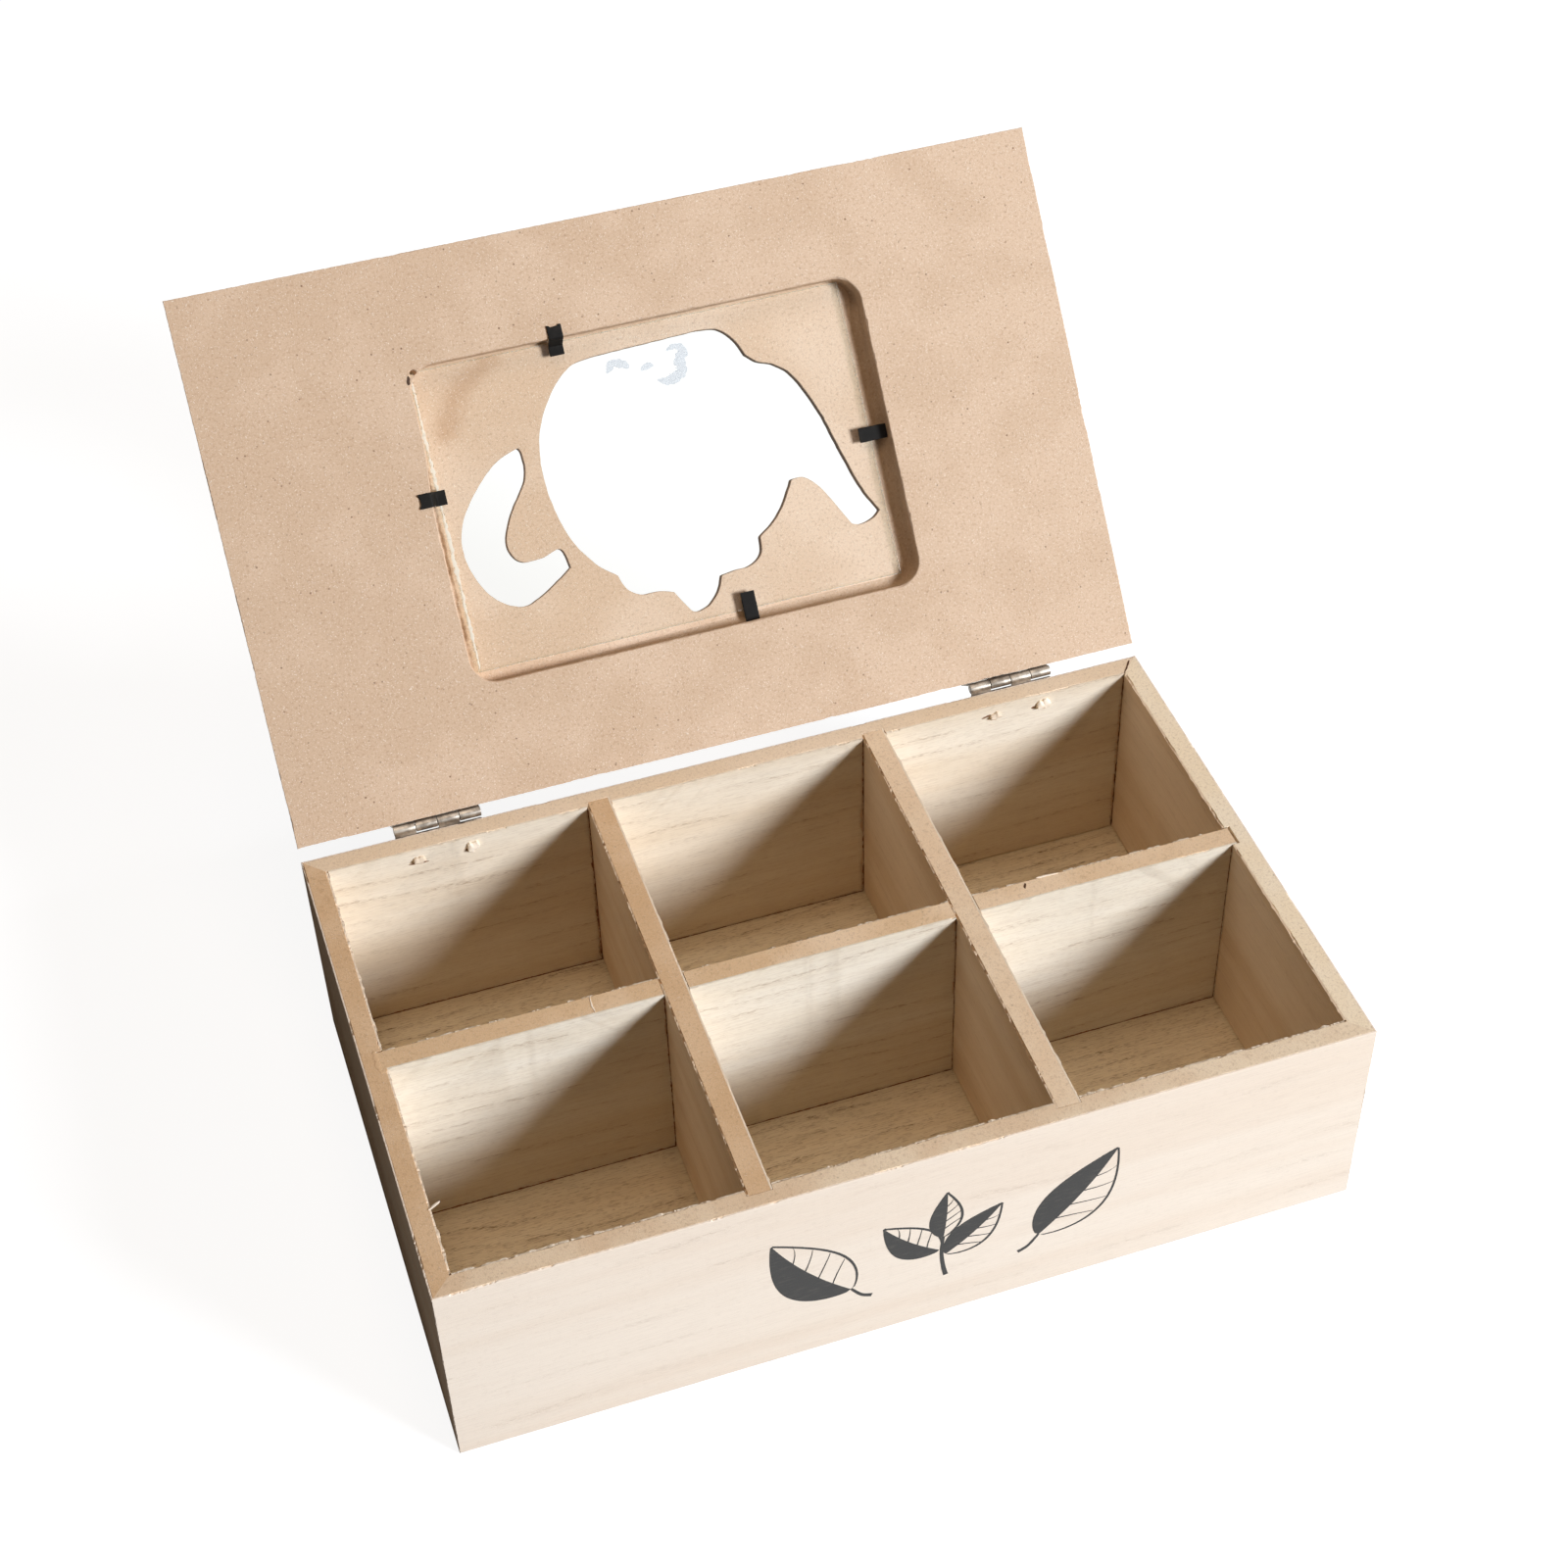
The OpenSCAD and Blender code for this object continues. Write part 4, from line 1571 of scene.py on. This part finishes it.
@dataclass
class Hardware:
    """The hinges: rolled leaves, and the CAD model's pins and screws with eased edges and a plated finish."""

    plate: Metal
    pin: Metal
    screw: Metal
    swing: Placement
    hinge_x: float = 0.0824
    ease: float = 0.00009

    def build(self) -> None:
        """Builds the leaves, and gives the pins and screws their metal, welded and eased by modifiers."""
        pin, screw = self.pin.material(), self.screw.material()
        for side, middle in (("left", -self.hinge_x), ("right", self.hinge_x)):
            leaves = (("box", 0, False, Placement()), ("lid", 1, True, self.swing))
            for body, first, flipped, placement in leaves:
                node = f"{side}_hinge_{body}_leaf"
                metal = replace(self.plate, name=f"{self.plate.name}_{body}_{side}")
                HingeLeaf(f"{node}_rolled", node, body, middle, first, flipped, placement, metal).build()
            for ending, metal in (("pin", pin), ("box_screws", screw), ("lid_screws", screw)):
                self.dress(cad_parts[f"{side}_hinge_{ending}"], metal)

    def dress(self, node: bpy.types.Object, metal: bpy.types.Material) -> None:
        """Gives a CAD node its metal, and eases its edges once its loose triangles are welded."""
        node.data.materials.clear()
        node.data.materials.append(metal)
        node.modifiers.new("weld", "WELD").merge_threshold = 1e-6
        bevel = node.modifiers.new("ease", "BEVEL")
        bevel.width, bevel.segments, bevel.limit_method = self.ease, 2, "ANGLE"
        bevel.angle_limit = math.radians(40)
        LOG.info("%s: dressed", node.name)


@dataclass
class LeafPrint:
    """Three printed leaves on the front: half of each solid, half drawn in outline."""

    film: Film
    front: float
    raised: float = 0.00006
    stagger: float = 0.00001
    sunk: float = 0.00005
    stroke: float = 0.0007
    vein: float = 0.00042
    shell: Shell = field(default_factory=lambda: Shell("front_leaf_print"))

    def coat(self, points: Array) -> None:
        """Adds a thin raised coat over a grid of points on the front face; no two lie at quite one height."""
        lift = self.raised + self.stagger * (self.shell.count % 97) / 97
        front, back = (xyz(points[..., 0], self.front - off, points[..., 1]) for off in (lift, -self.sunk))
        self.shell.slab(front, back)

    def leaf(self, base: Point, tip: Point, fat: float, sway: float) -> None:
        """Adds one leaf.

        Its midrib is a parabola from base to tip, bowed by sway. Its half width at a
        share t of the way is fat times sin(pi * t^0.75) to the power 0.9. The left half
        is solid; the right is an edge line and four veins, each a line of even width.

        Args:
            base: Where the leaf starts.
            tip: Where it ends.
            fat: Its greatest half width.
            sway: How far its midrib bows to the right.
        """
        b, e = np.array(base), np.array(tip)
        along = e - b
        right = np.array([along[1], -along[0]]) / np.linalg.norm(along)

        def rib(t: Array) -> Array:
            """The midrib at shares t."""
            return b + t[..., None] * along + (4 * sway * t * (1 - t))[..., None] * right

        def half(t: Array) -> Array:
            """The half width at shares t."""
            return fat * np.sin(math.pi * np.clip(t, 0, 1) ** 0.75) ** 0.9

        t = np.linspace(0.012, 0.988, 80)[:, None] * np.ones((1, 9))
        s = np.linspace(0, 1, 9)[None]
        self.coat(rib(t) - (s * np.maximum(half(t), 0.0003))[..., None] * right)
        line = np.maximum(half(t), self.stroke * 0.6)
        self.coat(rib(t) + (line - self.stroke * (1 - s))[..., None] * right)
        for start in (0.2, 0.36, 0.52, 0.68):
            reach = np.linspace(0, 0.93, 24)[:, None]
            at = start + 0.16 * reach
            way = rib(at) + (reach * (half(at) - self.stroke * 0.5))[..., None] * right
            width = self.vein * (1 - 0.5 * reach) * np.linspace(-0.5, 0.5, 5)[None]
            self.coat(way + width[..., None] * along / np.linalg.norm(along))

    def stem(self, spots: Sequence[Point], width: float) -> None:
        """Adds a stem: a smooth stroke through points, with a width that tapers to 60% at its end."""
        line = np.concatenate([smooth_stroke(spots), [spots[-1]]])
        taper = np.linspace(1, 0.6, len(line))[:, None, None] * np.linspace(-0.5, 0.5, 5)[None, :, None]
        self.coat(line[:, None] - leftward(line)[:, None] * taper * width)

    def build(self) -> None:
        """Builds the left leaf, the sprig of a bud and two leaves, and the right leaf, each with its stem."""
        sprigs = (
            (
                [((-0.0180, 0.0205), (-0.0385, 0.0475), 0.0092, -0.0016)],
                [(-0.0128, 0.0158), (-0.0155, 0.0172), (-0.0182, 0.0208)],
                0.0012,
            ),
            (
                [
                    ((0.0060, 0.0310), (0.0068, 0.0490), 0.0045, 0.0004),
                    ((0.0052, 0.0262), (-0.0098, 0.0415), 0.0058, -0.0010),
                    ((0.0066, 0.0238), (0.0216, 0.0385), 0.0058, 0.0010),
                ],
                [(0.0069, 0.0152), (0.0061, 0.0195), (0.0056, 0.0255), (0.0060, 0.0312)],
                0.0013,
            ),
            (
                [((0.0315, 0.0205), (0.0520, 0.0475), 0.0092, 0.0016)],
                [(0.0263, 0.0158), (0.0290, 0.0172), (0.0317, 0.0208)],
                0.0012,
            ),
        )
        for leaves, stem, width in sprigs:
            for leaf in leaves:
                self.leaf(*leaf)
            self.stem(stem, width)
        self.shell.build([self.film], "box", [], "veneered_board")


@dataclass(frozen=True)
class Stroke:
    """One mark: a thin strip with ragged sides along a smooth line on a face.

    Its line passes through the spots. Thick is how far its middle stands off the face,
    and lifts is how much further its start and its end do. A low power, blunt, gives
    blunt ends, and uneven is how much of its width the noise takes.
    """

    place: Placer
    spots: Sequence[Point]
    width: float
    thick: float = 0.00005
    lifts: Point = (0.0, 0.0)
    blunt: float = 0.5
    uneven: float = 0.3
    sunk: float = 0.00003

    @classmethod
    def seam(cls, place: Placer, start: Point, stop: Point, width: float) -> "Stroke":
        """A line of uneven width between two points on a face, such as painted shade in a corner gap."""
        share = np.linspace(0, 1, 1 + max(2, round(math.dist(start, stop) / 0.005)))[:, None]
        spots = np.array(start) * (1 - share) + np.array(stop) * share
        return cls(place, spots, width, blunt=0.08, uneven=0.75)

    def faces(self, seed: int) -> tuple[Array, Array]:
        """Gives the strip's domed outer face and its sunk back.

        Its half width at a share t of the way is half the width times sin(pi * t) to the
        power blunt, kept above a tenth, and uneven by noise on each side.

        Args:
            seed: Picks the noise.

        Returns:
            Two grids of points in space.
        """
        line = np.concatenate([smooth_stroke(self.spots, 10), [self.spots[-1]]])
        run = distances(line)
        t = run / run[-1]
        half = self.width / 2 * np.maximum(np.sin(math.pi * t), 0.0) ** self.blunt + self.width * 0.05
        swell = 1 + self.uneven * value_noise(run, 0.004, seed + 3)
        sides = [half * swell * (1 + self.uneven * value_noise(run, 0.0007, seed + k)) for k in (1, 2)]
        across = np.linspace(0, 1, 7)[None]
        offset = across * (sides[0] + sides[1])[:, None] - sides[1][:, None]
        points = line[:, None] + leftward(line)[:, None] * offset[..., None]
        lift = (self.lifts[0] * (1 - t) + self.lifts[1] * t)[:, None]
        dome = self.thick * (1 - 0.6 * (2 * across - 1) ** 2)
        return self.place(points, lift + dome), self.place(points, lift - self.sunk)


@dataclass
class Marks:
    """Small marks of one colour that lie on faces: torn fibres, scars, smears of glue, or painted shade in
    gaps and pits.
    """

    name: str
    film: Film
    seed: int
    strokes: Sequence[Stroke]
    body: str = "box"
    slot: str = "veneered_board"

    def build(self) -> None:
        """Makes one object of all its strokes."""
        shell = Shell(self.name)
        for number, stroke in enumerate(self.strokes, 1):
            shell.slab(*stroke.faces(self.seed + 10 * number))
        shell.build([self.film], self.body, [], self.slot)


@dataclass(frozen=True)
class Lamp:
    """One round soft lamp: the way to it, how far off it hangs, its diameter, power and colour."""

    name: str
    way: Colour
    distance: float
    size: float
    watts: float
    colour: Colour

    def hang(self, aim: Vector) -> None:
        """Hangs the lamp so that it points at the aim."""
        data = bpy.data.lights.new(self.name, "AREA")
        data.shape, data.size, data.energy, data.color = "DISK", self.size, self.watts, self.colour
        lamp = bpy.data.objects.new(self.name, data)
        way = Vector(self.way)
        lamp.location = aim + way.normalized() * self.distance
        lamp.rotation_euler = way.to_track_quat("Z", "Y").to_euler()
        lamp.visible_transmission = False
        bpy.context.scene.collection.objects.link(lamp)


@dataclass
class Studio:
    """The floor, the lamps, the surroundings and the camera."""

    lamps: tuple[Lamp, ...] = (
        Lamp("key_lamp", (0.60, -0.66, 0.41), 2.8, 0.90, 119.0, (0.85, 0.91, 1.0)),
        Lamp("top_lamp", (-0.05, 0.03, 1.0), 1.5, 0.7, 4.4, (1.0, 0.75, 0.53)),
    )
    aim: Colour = (0.0, 0.0, 0.04)
    fill: float = 0.03
    fill_colour: Colour = (1.0, 0.78, 0.58)
    floor_colour: Colour = (0.28, 0.25, 0.21)
    floor_glow: float = 0.90
    floor_half: float = 6.0
    floor_z: float = -0.0003
    lens: float = 64.46
    sensor: float = 36.0
    camera_at: Colour = (-0.152307, -0.459323, 0.597176)
    camera_ahead: Colour = (0.21317, 0.68073, -0.70083)
    camera_up: Colour = (0.23820, 0.65946, 0.71300)

    def build_floor(self) -> None:
        """Builds a plain pale floor that is white to the eye and keeps the object's shadow.

        To the camera, and in gloss and through glass, it adds a steady glow to its own
        shading; to all other rays it is plain pale paint.
        """
        line = np.linspace(-self.floor_half, self.floor_half, 5)
        tiles = Shell("floor")
        tiles.grid(xyz(*np.meshgrid(line, line, indexing="ij"), self.floor_z))
        mesh = bpy.data.meshes.new("floor")
        mesh.from_pydata(tiles.points[0].tolist(), [], tiles.faces[0].tolist())
        floor = bpy.data.objects.new("floor", mesh)
        bpy.context.scene.collection.objects.link(floor)
        n = Nodes.start("floor")
        plain = n.add("ShaderNodeBsdfDiffuse", {"Color": self.floor_colour})
        faint = n.add("ShaderNodeBsdfDiffuse", {"Color": (0.30, 0.30, 0.30)})
        glow = n.add("ShaderNodeEmission", {"Color": (1.0, 1.0, 1.0), "Strength": self.floor_glow})
        white = n.add("ShaderNodeAddShader", {0: faint, 1: glow})
        mesh.materials.append(n.end(n.mixed(n.seen(), plain, white)))

    def build_world(self) -> None:
        """Makes the surroundings white to the eye and dim to everything else."""
        world = bpy.data.worlds.new("surroundings")
        bpy.context.scene.world = world
        n = Nodes.start(world)
        dim = n.add("ShaderNodeBackground", {"Color": self.fill_colour, "Strength": self.fill})
        white = n.add("ShaderNodeBackground", {"Color": (1.0, 1.0, 1.0), "Strength": 1.0})
        n.end(n.mixed(n.seen(), dim, white), "ShaderNodeOutputWorld")

    def build_camera(self) -> None:
        """Sets the camera at the front left, looking down on the open box."""
        data = bpy.data.cameras.new("camera")
        data.lens, data.sensor_width, data.clip_start, data.clip_end = self.lens, self.sensor, 0.01, 50.0
        camera = bpy.data.objects.new("camera", data)
        ahead = Vector(self.camera_ahead).normalized()
        up = Vector(self.camera_up)
        up = (up - ahead * up.dot(ahead)).normalized()
        right = ahead.cross(up)
        turn = Matrix((right, up, -ahead)).transposed().to_4x4()
        camera.matrix_world = Matrix.Translation(self.camera_at) @ turn
        bpy.context.scene.collection.objects.link(camera)
        bpy.context.scene.camera = camera

    def build(self) -> None:
        """Builds the whole studio."""
        self.build_floor()
        self.build_world()
        for lamp in self.lamps:
            lamp.hang(Vector(self.aim))
        self.build_camera()
        bpy.context.scene.view_settings.view_transform = "Standard"


@dataclass
class TeaBox:
    """The whole object: walls, floor, dividers, lid, glass, clips, hinges and print."""

    sizes: BoxSizes = field(default_factory=BoxSizes.measured)
    swing: Placement = Placement(PIN_Y, PIN_Z, -130.0)

    def boards(
        self,
        name: str,
        seed: int,
        base: Colour = Tone.BOARD,
        pale: Colour = Tone.BOARD_PALE,
        tilt: float = 0.0,
    ) -> Fibreboard:
        """A board's core finish."""
        return Fibreboard(name, base, pale, Tone.BOARD_DARK, 0.4, 0.3, 1.0, seed, mottle=0.22, tilt=tilt)

    def build_walls(self) -> None:
        """Builds the four walls."""
        s = self.sizes
        cross = (-s.cross_x, s.cross_x)
        brown = Tone.GRAIN_BROWN
        outer = Veneer("outer_veneer_x", Tone.CREAM, Tone.CREAM_DEEP, brown, 0.14, 0.06, 0.05, 0.013)
        inner = Veneer("inner_veneer_x", Tone.INNER, Tone.INNER_DEEP, brown, 0.46, 0.12, 0.09, 0.0058, seed=2)
        turned = replace(outer, name="outer_veneer_y", grain=Grain.ALONG_Y, seed=5)
        hidden = replace(
            inner, name="inner_veneer_left", grain=Grain.ALONG_Y, seed=6,
            pale=Tone.HIDDEN, deep=Tone.HIDDEN_DEEP,
        )
        calm = EdgeWear(0.00012, 0.00035, 0.014, 0.22, 200)
        torn = EdgeWear(0.00022, 0.00032, 0.0032, 0.36, 230)
        Wall(
            "front_wall", Side((0, -s.half_d), (1, 0), (0, 1)), s.half_w, cross, s,
            self.boards("core_front", 11, paint(231, 202, 168), paint(243, 221, 190), 3.0),
            outer, replace(inner, name="inner_veneer_front", seed=3), calm, torn, 0.0003, 0.00035,
        ).build()
        Wall(
            "back_wall", Side((0, s.half_d), (-1, 0), (0, -1)), s.half_w, cross, s,
            self.boards("core_back", 12, paint(240, 214, 181), paint(244, 220, 190)),
            replace(outer, name="outer_veneer_back", seed=4), inner,
            replace(calm, seed=240), replace(calm, seed=250), 0.0007, 0.0002,
        ).build()
        Wall(
            "left_wall", Side((-s.half_w, 0), (0, -1), (1, 0)), s.half_d, (0.0,), s,
            self.boards("core_left", 13), turned, hidden,
            replace(calm, seed=260), replace(torn, seed=270), 0.0003, 0.0003,
        ).build()
        shaded = replace(
            hidden, name="inner_veneer_right", seed=9, lines=0.22, pores=0.08,
            pale=Tone.SIDE, deep=Tone.SIDE_DEEP,
        )
        Wall(
            "right_wall", Side((s.half_w, 0), (0, 1), (-1, 0)), s.half_d, (0.0,), s,
            self.boards("core_right", 14, paint(250, 229, 196), paint(252, 234, 205)),
            replace(turned, name="outer_veneer_right", seed=8), shaded,
            replace(calm, seed=280), replace(calm, seed=290), 0.0004, 0.0002,
        ).build()

    def build_dividers(self) -> None:
        """Builds the long divider and the two that cross it."""
        s = self.sizes
        brown = Tone.GRAIN_BROWN
        skin_x = Veneer(
            "divider_veneer_x", Tone.DIVIDER, Tone.DIVIDER_DEEP, brown, 0.46, 0.12, 0.09, 0.0052, seed=21
        )
        skin_y = Veneer(
            "divider_veneer_y", Tone.SIDE, Tone.SIDE_DEEP, brown, 0.22, 0.08, 0.08, 0.007, Grain.ALONG_Y
        )
        straight = EdgeWear(0.00008, 0.0003, 0.02, 0.14, 300)
        jagged = EdgeWear(0.0003, 0.0008, 0.0045, 0.42, 310)
        half = s.divider / 2
        play, loose = 0.0001, 0.0007
        Divider(
            "long_divider", Side((0, -half), (1, 0), (0, 1)), -s.inner_w - s.groove + play,
            s.inner_w + s.groove - loose, (-s.cross_x, s.cross_x), True, s,
            self.boards("core_long", 15, paint(228, 194, 153), paint(242, 213, 178), 5.0),
            skin_x, replace(skin_x, name="divider_veneer_back", seed=22), straight, jagged,
        ).build()
        reach = s.inner_d + s.groove - play
        for number, (name, at, tones) in enumerate((
            ("left_cross_divider", -s.cross_x, (Tone.BOARD, Tone.BOARD_PALE)),
            ("right_cross_divider", s.cross_x, (paint(237, 207, 172), paint(242, 216, 183))),
        )):
            near = replace(skin_y, name=f"veneer_{name}_near", seed=24 + number)
            far = replace(
                skin_y, name=f"veneer_{name}_far", seed=27 + number, pale=Tone.HIDDEN, deep=Tone.HIDDEN_DEEP
            )
            Divider(
                name, Side((at - half, 0), (0, 1), (1, 0)), -reach, reach, (0.0,), False, s,
                self.boards(f"core_{name}", 16 + number, *tones), near, far,
                replace(jagged, seed=320 + 10 * number), replace(straight, seed=350 + 10 * number),
            ).build()

    def build_floor(self) -> None:
        """Builds the base board."""
        top = Veneer(
            "floor_veneer", Tone.FLOOR, Tone.FLOOR_DEEP, Tone.FLOOR_GRAIN, 0.75, 0.32, 0.14, 0.0042, seed=31
        )
        Floor(self.sizes, top, self.boards("floor_core", 32)).build()

    def build_lid(self) -> None:
        """Builds the lid board, the glass and its clips."""
        face = Fibreboard(
            "lid_face", Tone.FACE, Tone.FACE_PALE, Tone.FACE_DARK, 0.85, 0.6, 1.0, 41, self.swing, tilt=4.0
        )
        recess = replace(
            face, name="lid_recess", base=paint(217, 186, 156), pale=paint(231, 204, 178), specks=0.3,
            seed=42, cloud=30.0, tilt=8.0,
            smear_line=((-0.0395, -0.0410, 0.0703), (-0.0490, -0.0357, 0.0703), (-0.0552, -0.0250, 0.0703)),
        )
        edge = replace(face, name="lid_cut", base=paint(206, 177, 149), specks=0.2, fuzz=2.0, seed=43)
        # Painted light: the lid's outer edge is paler than the cut walls, to lift the shade that falls on it.
        rim = replace(edge, name="lid_edge", base=paint(222, 194, 166), pale=paint(230, 205, 180), seed=45)
        skin = Veneer(
            "lid_veneer", Tone.CREAM, Tone.CREAM_DEEP, Tone.GRAIN_BROWN, 0.2, 0.06, 0.06, 0.010, seed=44,
            placement=self.swing,
        )
        Lid(self.swing, face, recess, edge, rim, skin).build()
        Pane(
            self.swing, ClearGlass("window_glass", (0.988, 0.994, 0.990)),
            GroundGlass("ground_glass", (0.96, 0.96, 0.93), (0.62, 0.68, 0.60)),
        ).build()
        black = Metal("blackened_steel", (0.006, 0.005, 0.004), (0.013, 0.011, 0.009), 0.0, 0.40, 0.2, 0.09)
        Clips(self.swing, black).build()

    def build_hardware(self) -> None:
        """Dresses the hinges and screws."""
        Hardware(
            Metal("plated_steel", (0.44, 0.39, 0.33), (0.20, 0.17, 0.14), 1.0, 0.30, 0.2),
            Metal("pin_steel", (0.40, 0.37, 0.33), (0.22, 0.20, 0.18), 1.0, 0.26, 0.1),
            Metal("screw_steel", (0.50, 0.46, 0.39), (0.28, 0.25, 0.21), 1.0, 0.32, 0.14),
            self.swing,
        ).build()

    def build_print(self) -> None:
        """Prints the leaves on the front."""
        LeafPrint(Film("print_charcoal", paint(42, 41, 39), paint(72, 68, 62)), -self.sizes.half_d).build()

    def on_back(self, points: Array, lift: Array) -> Array:
        """Places marks on the back wall's inner face, across and up."""
        return xyz(points[..., 0], self.sizes.inner_d - lift, points[..., 1])

    def on_divider(self, points: Array, lift: Array) -> Array:
        """Places marks on the long divider's near face, across and up."""
        return xyz(points[..., 0], -self.sizes.divider / 2 - lift, points[..., 1])

    def on_rim(self, points: Array, lift: Array) -> Array:
        """Places marks on the boards' tops, across and deep."""
        return xyz(points[..., 0], points[..., 1], self.sizes.height + lift)

    def on_lid(self, points: Array, lift: Array) -> Array:
        """Places marks on the lid's inner face."""
        return self.swing.plan(LID_FACE)(points, -lift)

    def on_glass(self, points: Array, lift: Array) -> Array:
        """Places marks on the inner side of the window glass."""
        return self.swing.plan(GLASS_FACE)(points, -lift)

    def build_wood_marks(self) -> None:
        """Adds the marks at the screws' tips and on the boards' rims, with painted shade in a mitre gap and
        in a pit beside the lid's recess.
        """
        back, rim = self.on_back, self.on_rim
        chip, lump = 0.00132, 0.00130
        Marks("pale_splinters", Film("torn_fibre", paint(248, 232, 210), paint(238, 214, 184), 0.8), 0, [
            Stroke(back, [(-0.0764, 0.0598), (-0.0751, 0.0604), (-0.0732, 0.0613)], 0.0027, chip),
            Stroke(back, [(0.0876, 0.0597), (0.0896, 0.0604), (0.0915, 0.0610)], 0.0027, chip),
            Stroke(
                rim, [(-0.1146, -0.0487), (-0.1130, -0.0479), (-0.1115, -0.0470)], 0.0007, 0.00012,
                (0.00004, 0.00010),
            ),
            Stroke(rim, [(0.0607, 0.0030), (0.0637, 0.0029), (0.0668, 0.0027)], 0.0006, 0.00012),
            Stroke(rim, [(-0.0606, 0.0030), (-0.0609, 0.0000), (-0.0607, -0.0030)], 0.00035, 0.00008),
        ]).build()
        Marks("veneer_lumps", Film("lifted_veneer", paint(222, 202, 177), paint(210, 188, 161), 0.8), 450, [
            Stroke(back, [(x - 0.0016, 0.0603), (x, 0.0604), (x + 0.0016, 0.0605)], 0.0020, lump)
            for x in (-0.0896, 0.0752)
        ]).build()
        Marks("dark_scars", Film("scarred_wood", paint(128, 92, 64), paint(168, 130, 94), 0.85), 500, [
            Stroke(back, [(-0.0772, 0.0592), (-0.0762, 0.0596), (-0.0752, 0.0594)], 0.0008),
            Stroke(
                back, [(-0.0927, 0.0592), (-0.0907, 0.0591), (-0.0890, 0.0591), (-0.0871, 0.0588)], 0.0006
            ),
            Stroke(back, [(0.0711, 0.0602), (0.0725, 0.0605), (0.0737, 0.0611)], 0.0006),
            Stroke(back, [(0.0860, 0.0595), (0.0867, 0.0598), (0.0875, 0.0598)], 0.0007),
        ]).build()
        # The first stroke is a real crack; the second is painted shade, a dark strip for the shadow in the
        # back right mitre gap.
        Marks("rim_crack_and_gap_shade", Film("dark_crack", paint(84, 56, 34), paint(120, 84, 54), 0.85), 600, [
            Stroke(rim, [(0.0573, 0.0022), (0.0568, 0.0012), (0.0566, 0.0004)], 0.0005),
            Stroke(rim, [(0.1141, 0.0681), (0.1158, 0.0703), (0.1176, 0.0727)], 0.0004, blunt=0.25),
        ]).build()
        Marks("glued_seams", Film("sanded_glue", Tone.BOARD, paint(212, 174, 132), 0.85), 650, [
            Stroke.seam(rim, (-0.1142, 0.0033), (-0.1160, 0.0033), 0.0006),
            Stroke.seam(rim, (-0.1142, -0.0033), (-0.1160, -0.0033), 0.0006),
            Stroke.seam(rim, (-0.1160, -0.0034), (-0.1160, 0.0034), 0.0006),
        ]).build()
        # Painted shade: a dark stroke that stands for the shade in a small pit beside the glass's top left
        # corner.
        Marks("recess_notch_painted_shade", Film("chisel_slip", paint(70, 50, 36), paint(96, 70, 50), 0.9), 670, [
            Stroke(self.on_lid, [(-0.0624, -0.0411), (-0.0625, -0.0400), (-0.0628, -0.0387)], 0.0007),
        ], "lid", "raw_fibreboard").build()

    def build_painted_corner_shade(self) -> None:
        """Adds painted shade: dark strips at the foot and the right corner of each compartment's far face,
        where the gaps lie in shade.
        """
        s = self.sizes
        inner, outer = s.cross_x - s.divider / 2, s.cross_x + s.divider / 2
        low, top, aside = s.floor + 0.00012, s.height - 0.0012, 0.0001
        seams = []
        for left, right, feet, corners in (
            (-s.inner_w, -outer, (0.00040, 0.00046), (0.00044, 0.00026)),
            (-inner, inner, (0.00020, 0.00036), (0.00028, 0.00016)),
            (outer, s.inner_w, (0.0, 0.00036), (0.00020, 0.00014)),
        ):
            for place, foot, corner in zip((self.on_back, self.on_divider), feet, corners):
                if foot:
                    seams.append(Stroke.seam(place, (left + aside, low), (right - aside, low), foot))
                seams.append(Stroke.seam(place, (right - aside, low), (right - aside, top), corner))
        # The strips' brown is painted shade that stands in for the shadow in these gaps.
        shade = Film("shaded_gap", paint(140, 92, 58), paint(172, 124, 84), 0.9)
        Marks("painted_corner_shade", shade, 900, seams).build()

    def build_glass_marks(self) -> None:
        """Adds the smears of dried glue on the glass, and the crushed chips along its left edge."""
        glass = self.on_glass
        dried = Film("dried_glue", paint(176, 188, 198), paint(206, 214, 222), 0.35, 0.3)
        Marks("glue_smears", dried, 700, [
            Stroke(
                glass, [(-0.0092, -0.0310), (-0.0074, -0.0332), (-0.0052, -0.0330), (-0.0030, -0.0312)],
                0.0022,
            ),
            Stroke(glass, [(0.0002, -0.0298), (0.0020, -0.0308), (0.0038, -0.0305)], 0.0016),
            Stroke(glass, [
                (0.0040, -0.0265), (0.0080, -0.0256), (0.0110, -0.0275), (0.0115, -0.0305),
                (0.0125, -0.0330), (0.0105, -0.0345), (0.0082, -0.0336),
            ], 0.0027),
        ], "lid", "clear_glass").build()
        crushed = Film("crushed_glass", paint(226, 218, 200), paint(196, 188, 168), 0.5, 0.8)
        edge = [Stroke.seam(glass, (-0.0613, -0.0400), (-0.0613, 0.0390), 0.0006)]
        Marks("glass_edge_chips", crushed, 800, edge, "lid", "clear_glass").build()

    def build(self) -> None:
        """Builds every piece in order."""
        self.build_walls()
        self.build_dividers()
        self.build_floor()
        self.build_lid()
        self.build_hardware()
        self.build_print()
        self.build_wood_marks()
        self.build_painted_corner_shade()
        self.build_glass_marks()


def main() -> None:
    """Builds the surroundings and the box in order; each piece is reported as it is made."""
    logging.basicConfig(level=logging.INFO, format="%(name)s %(message)s")
    Studio().build()
    TeaBox().build()


if __name__ == "__main__":
    main()
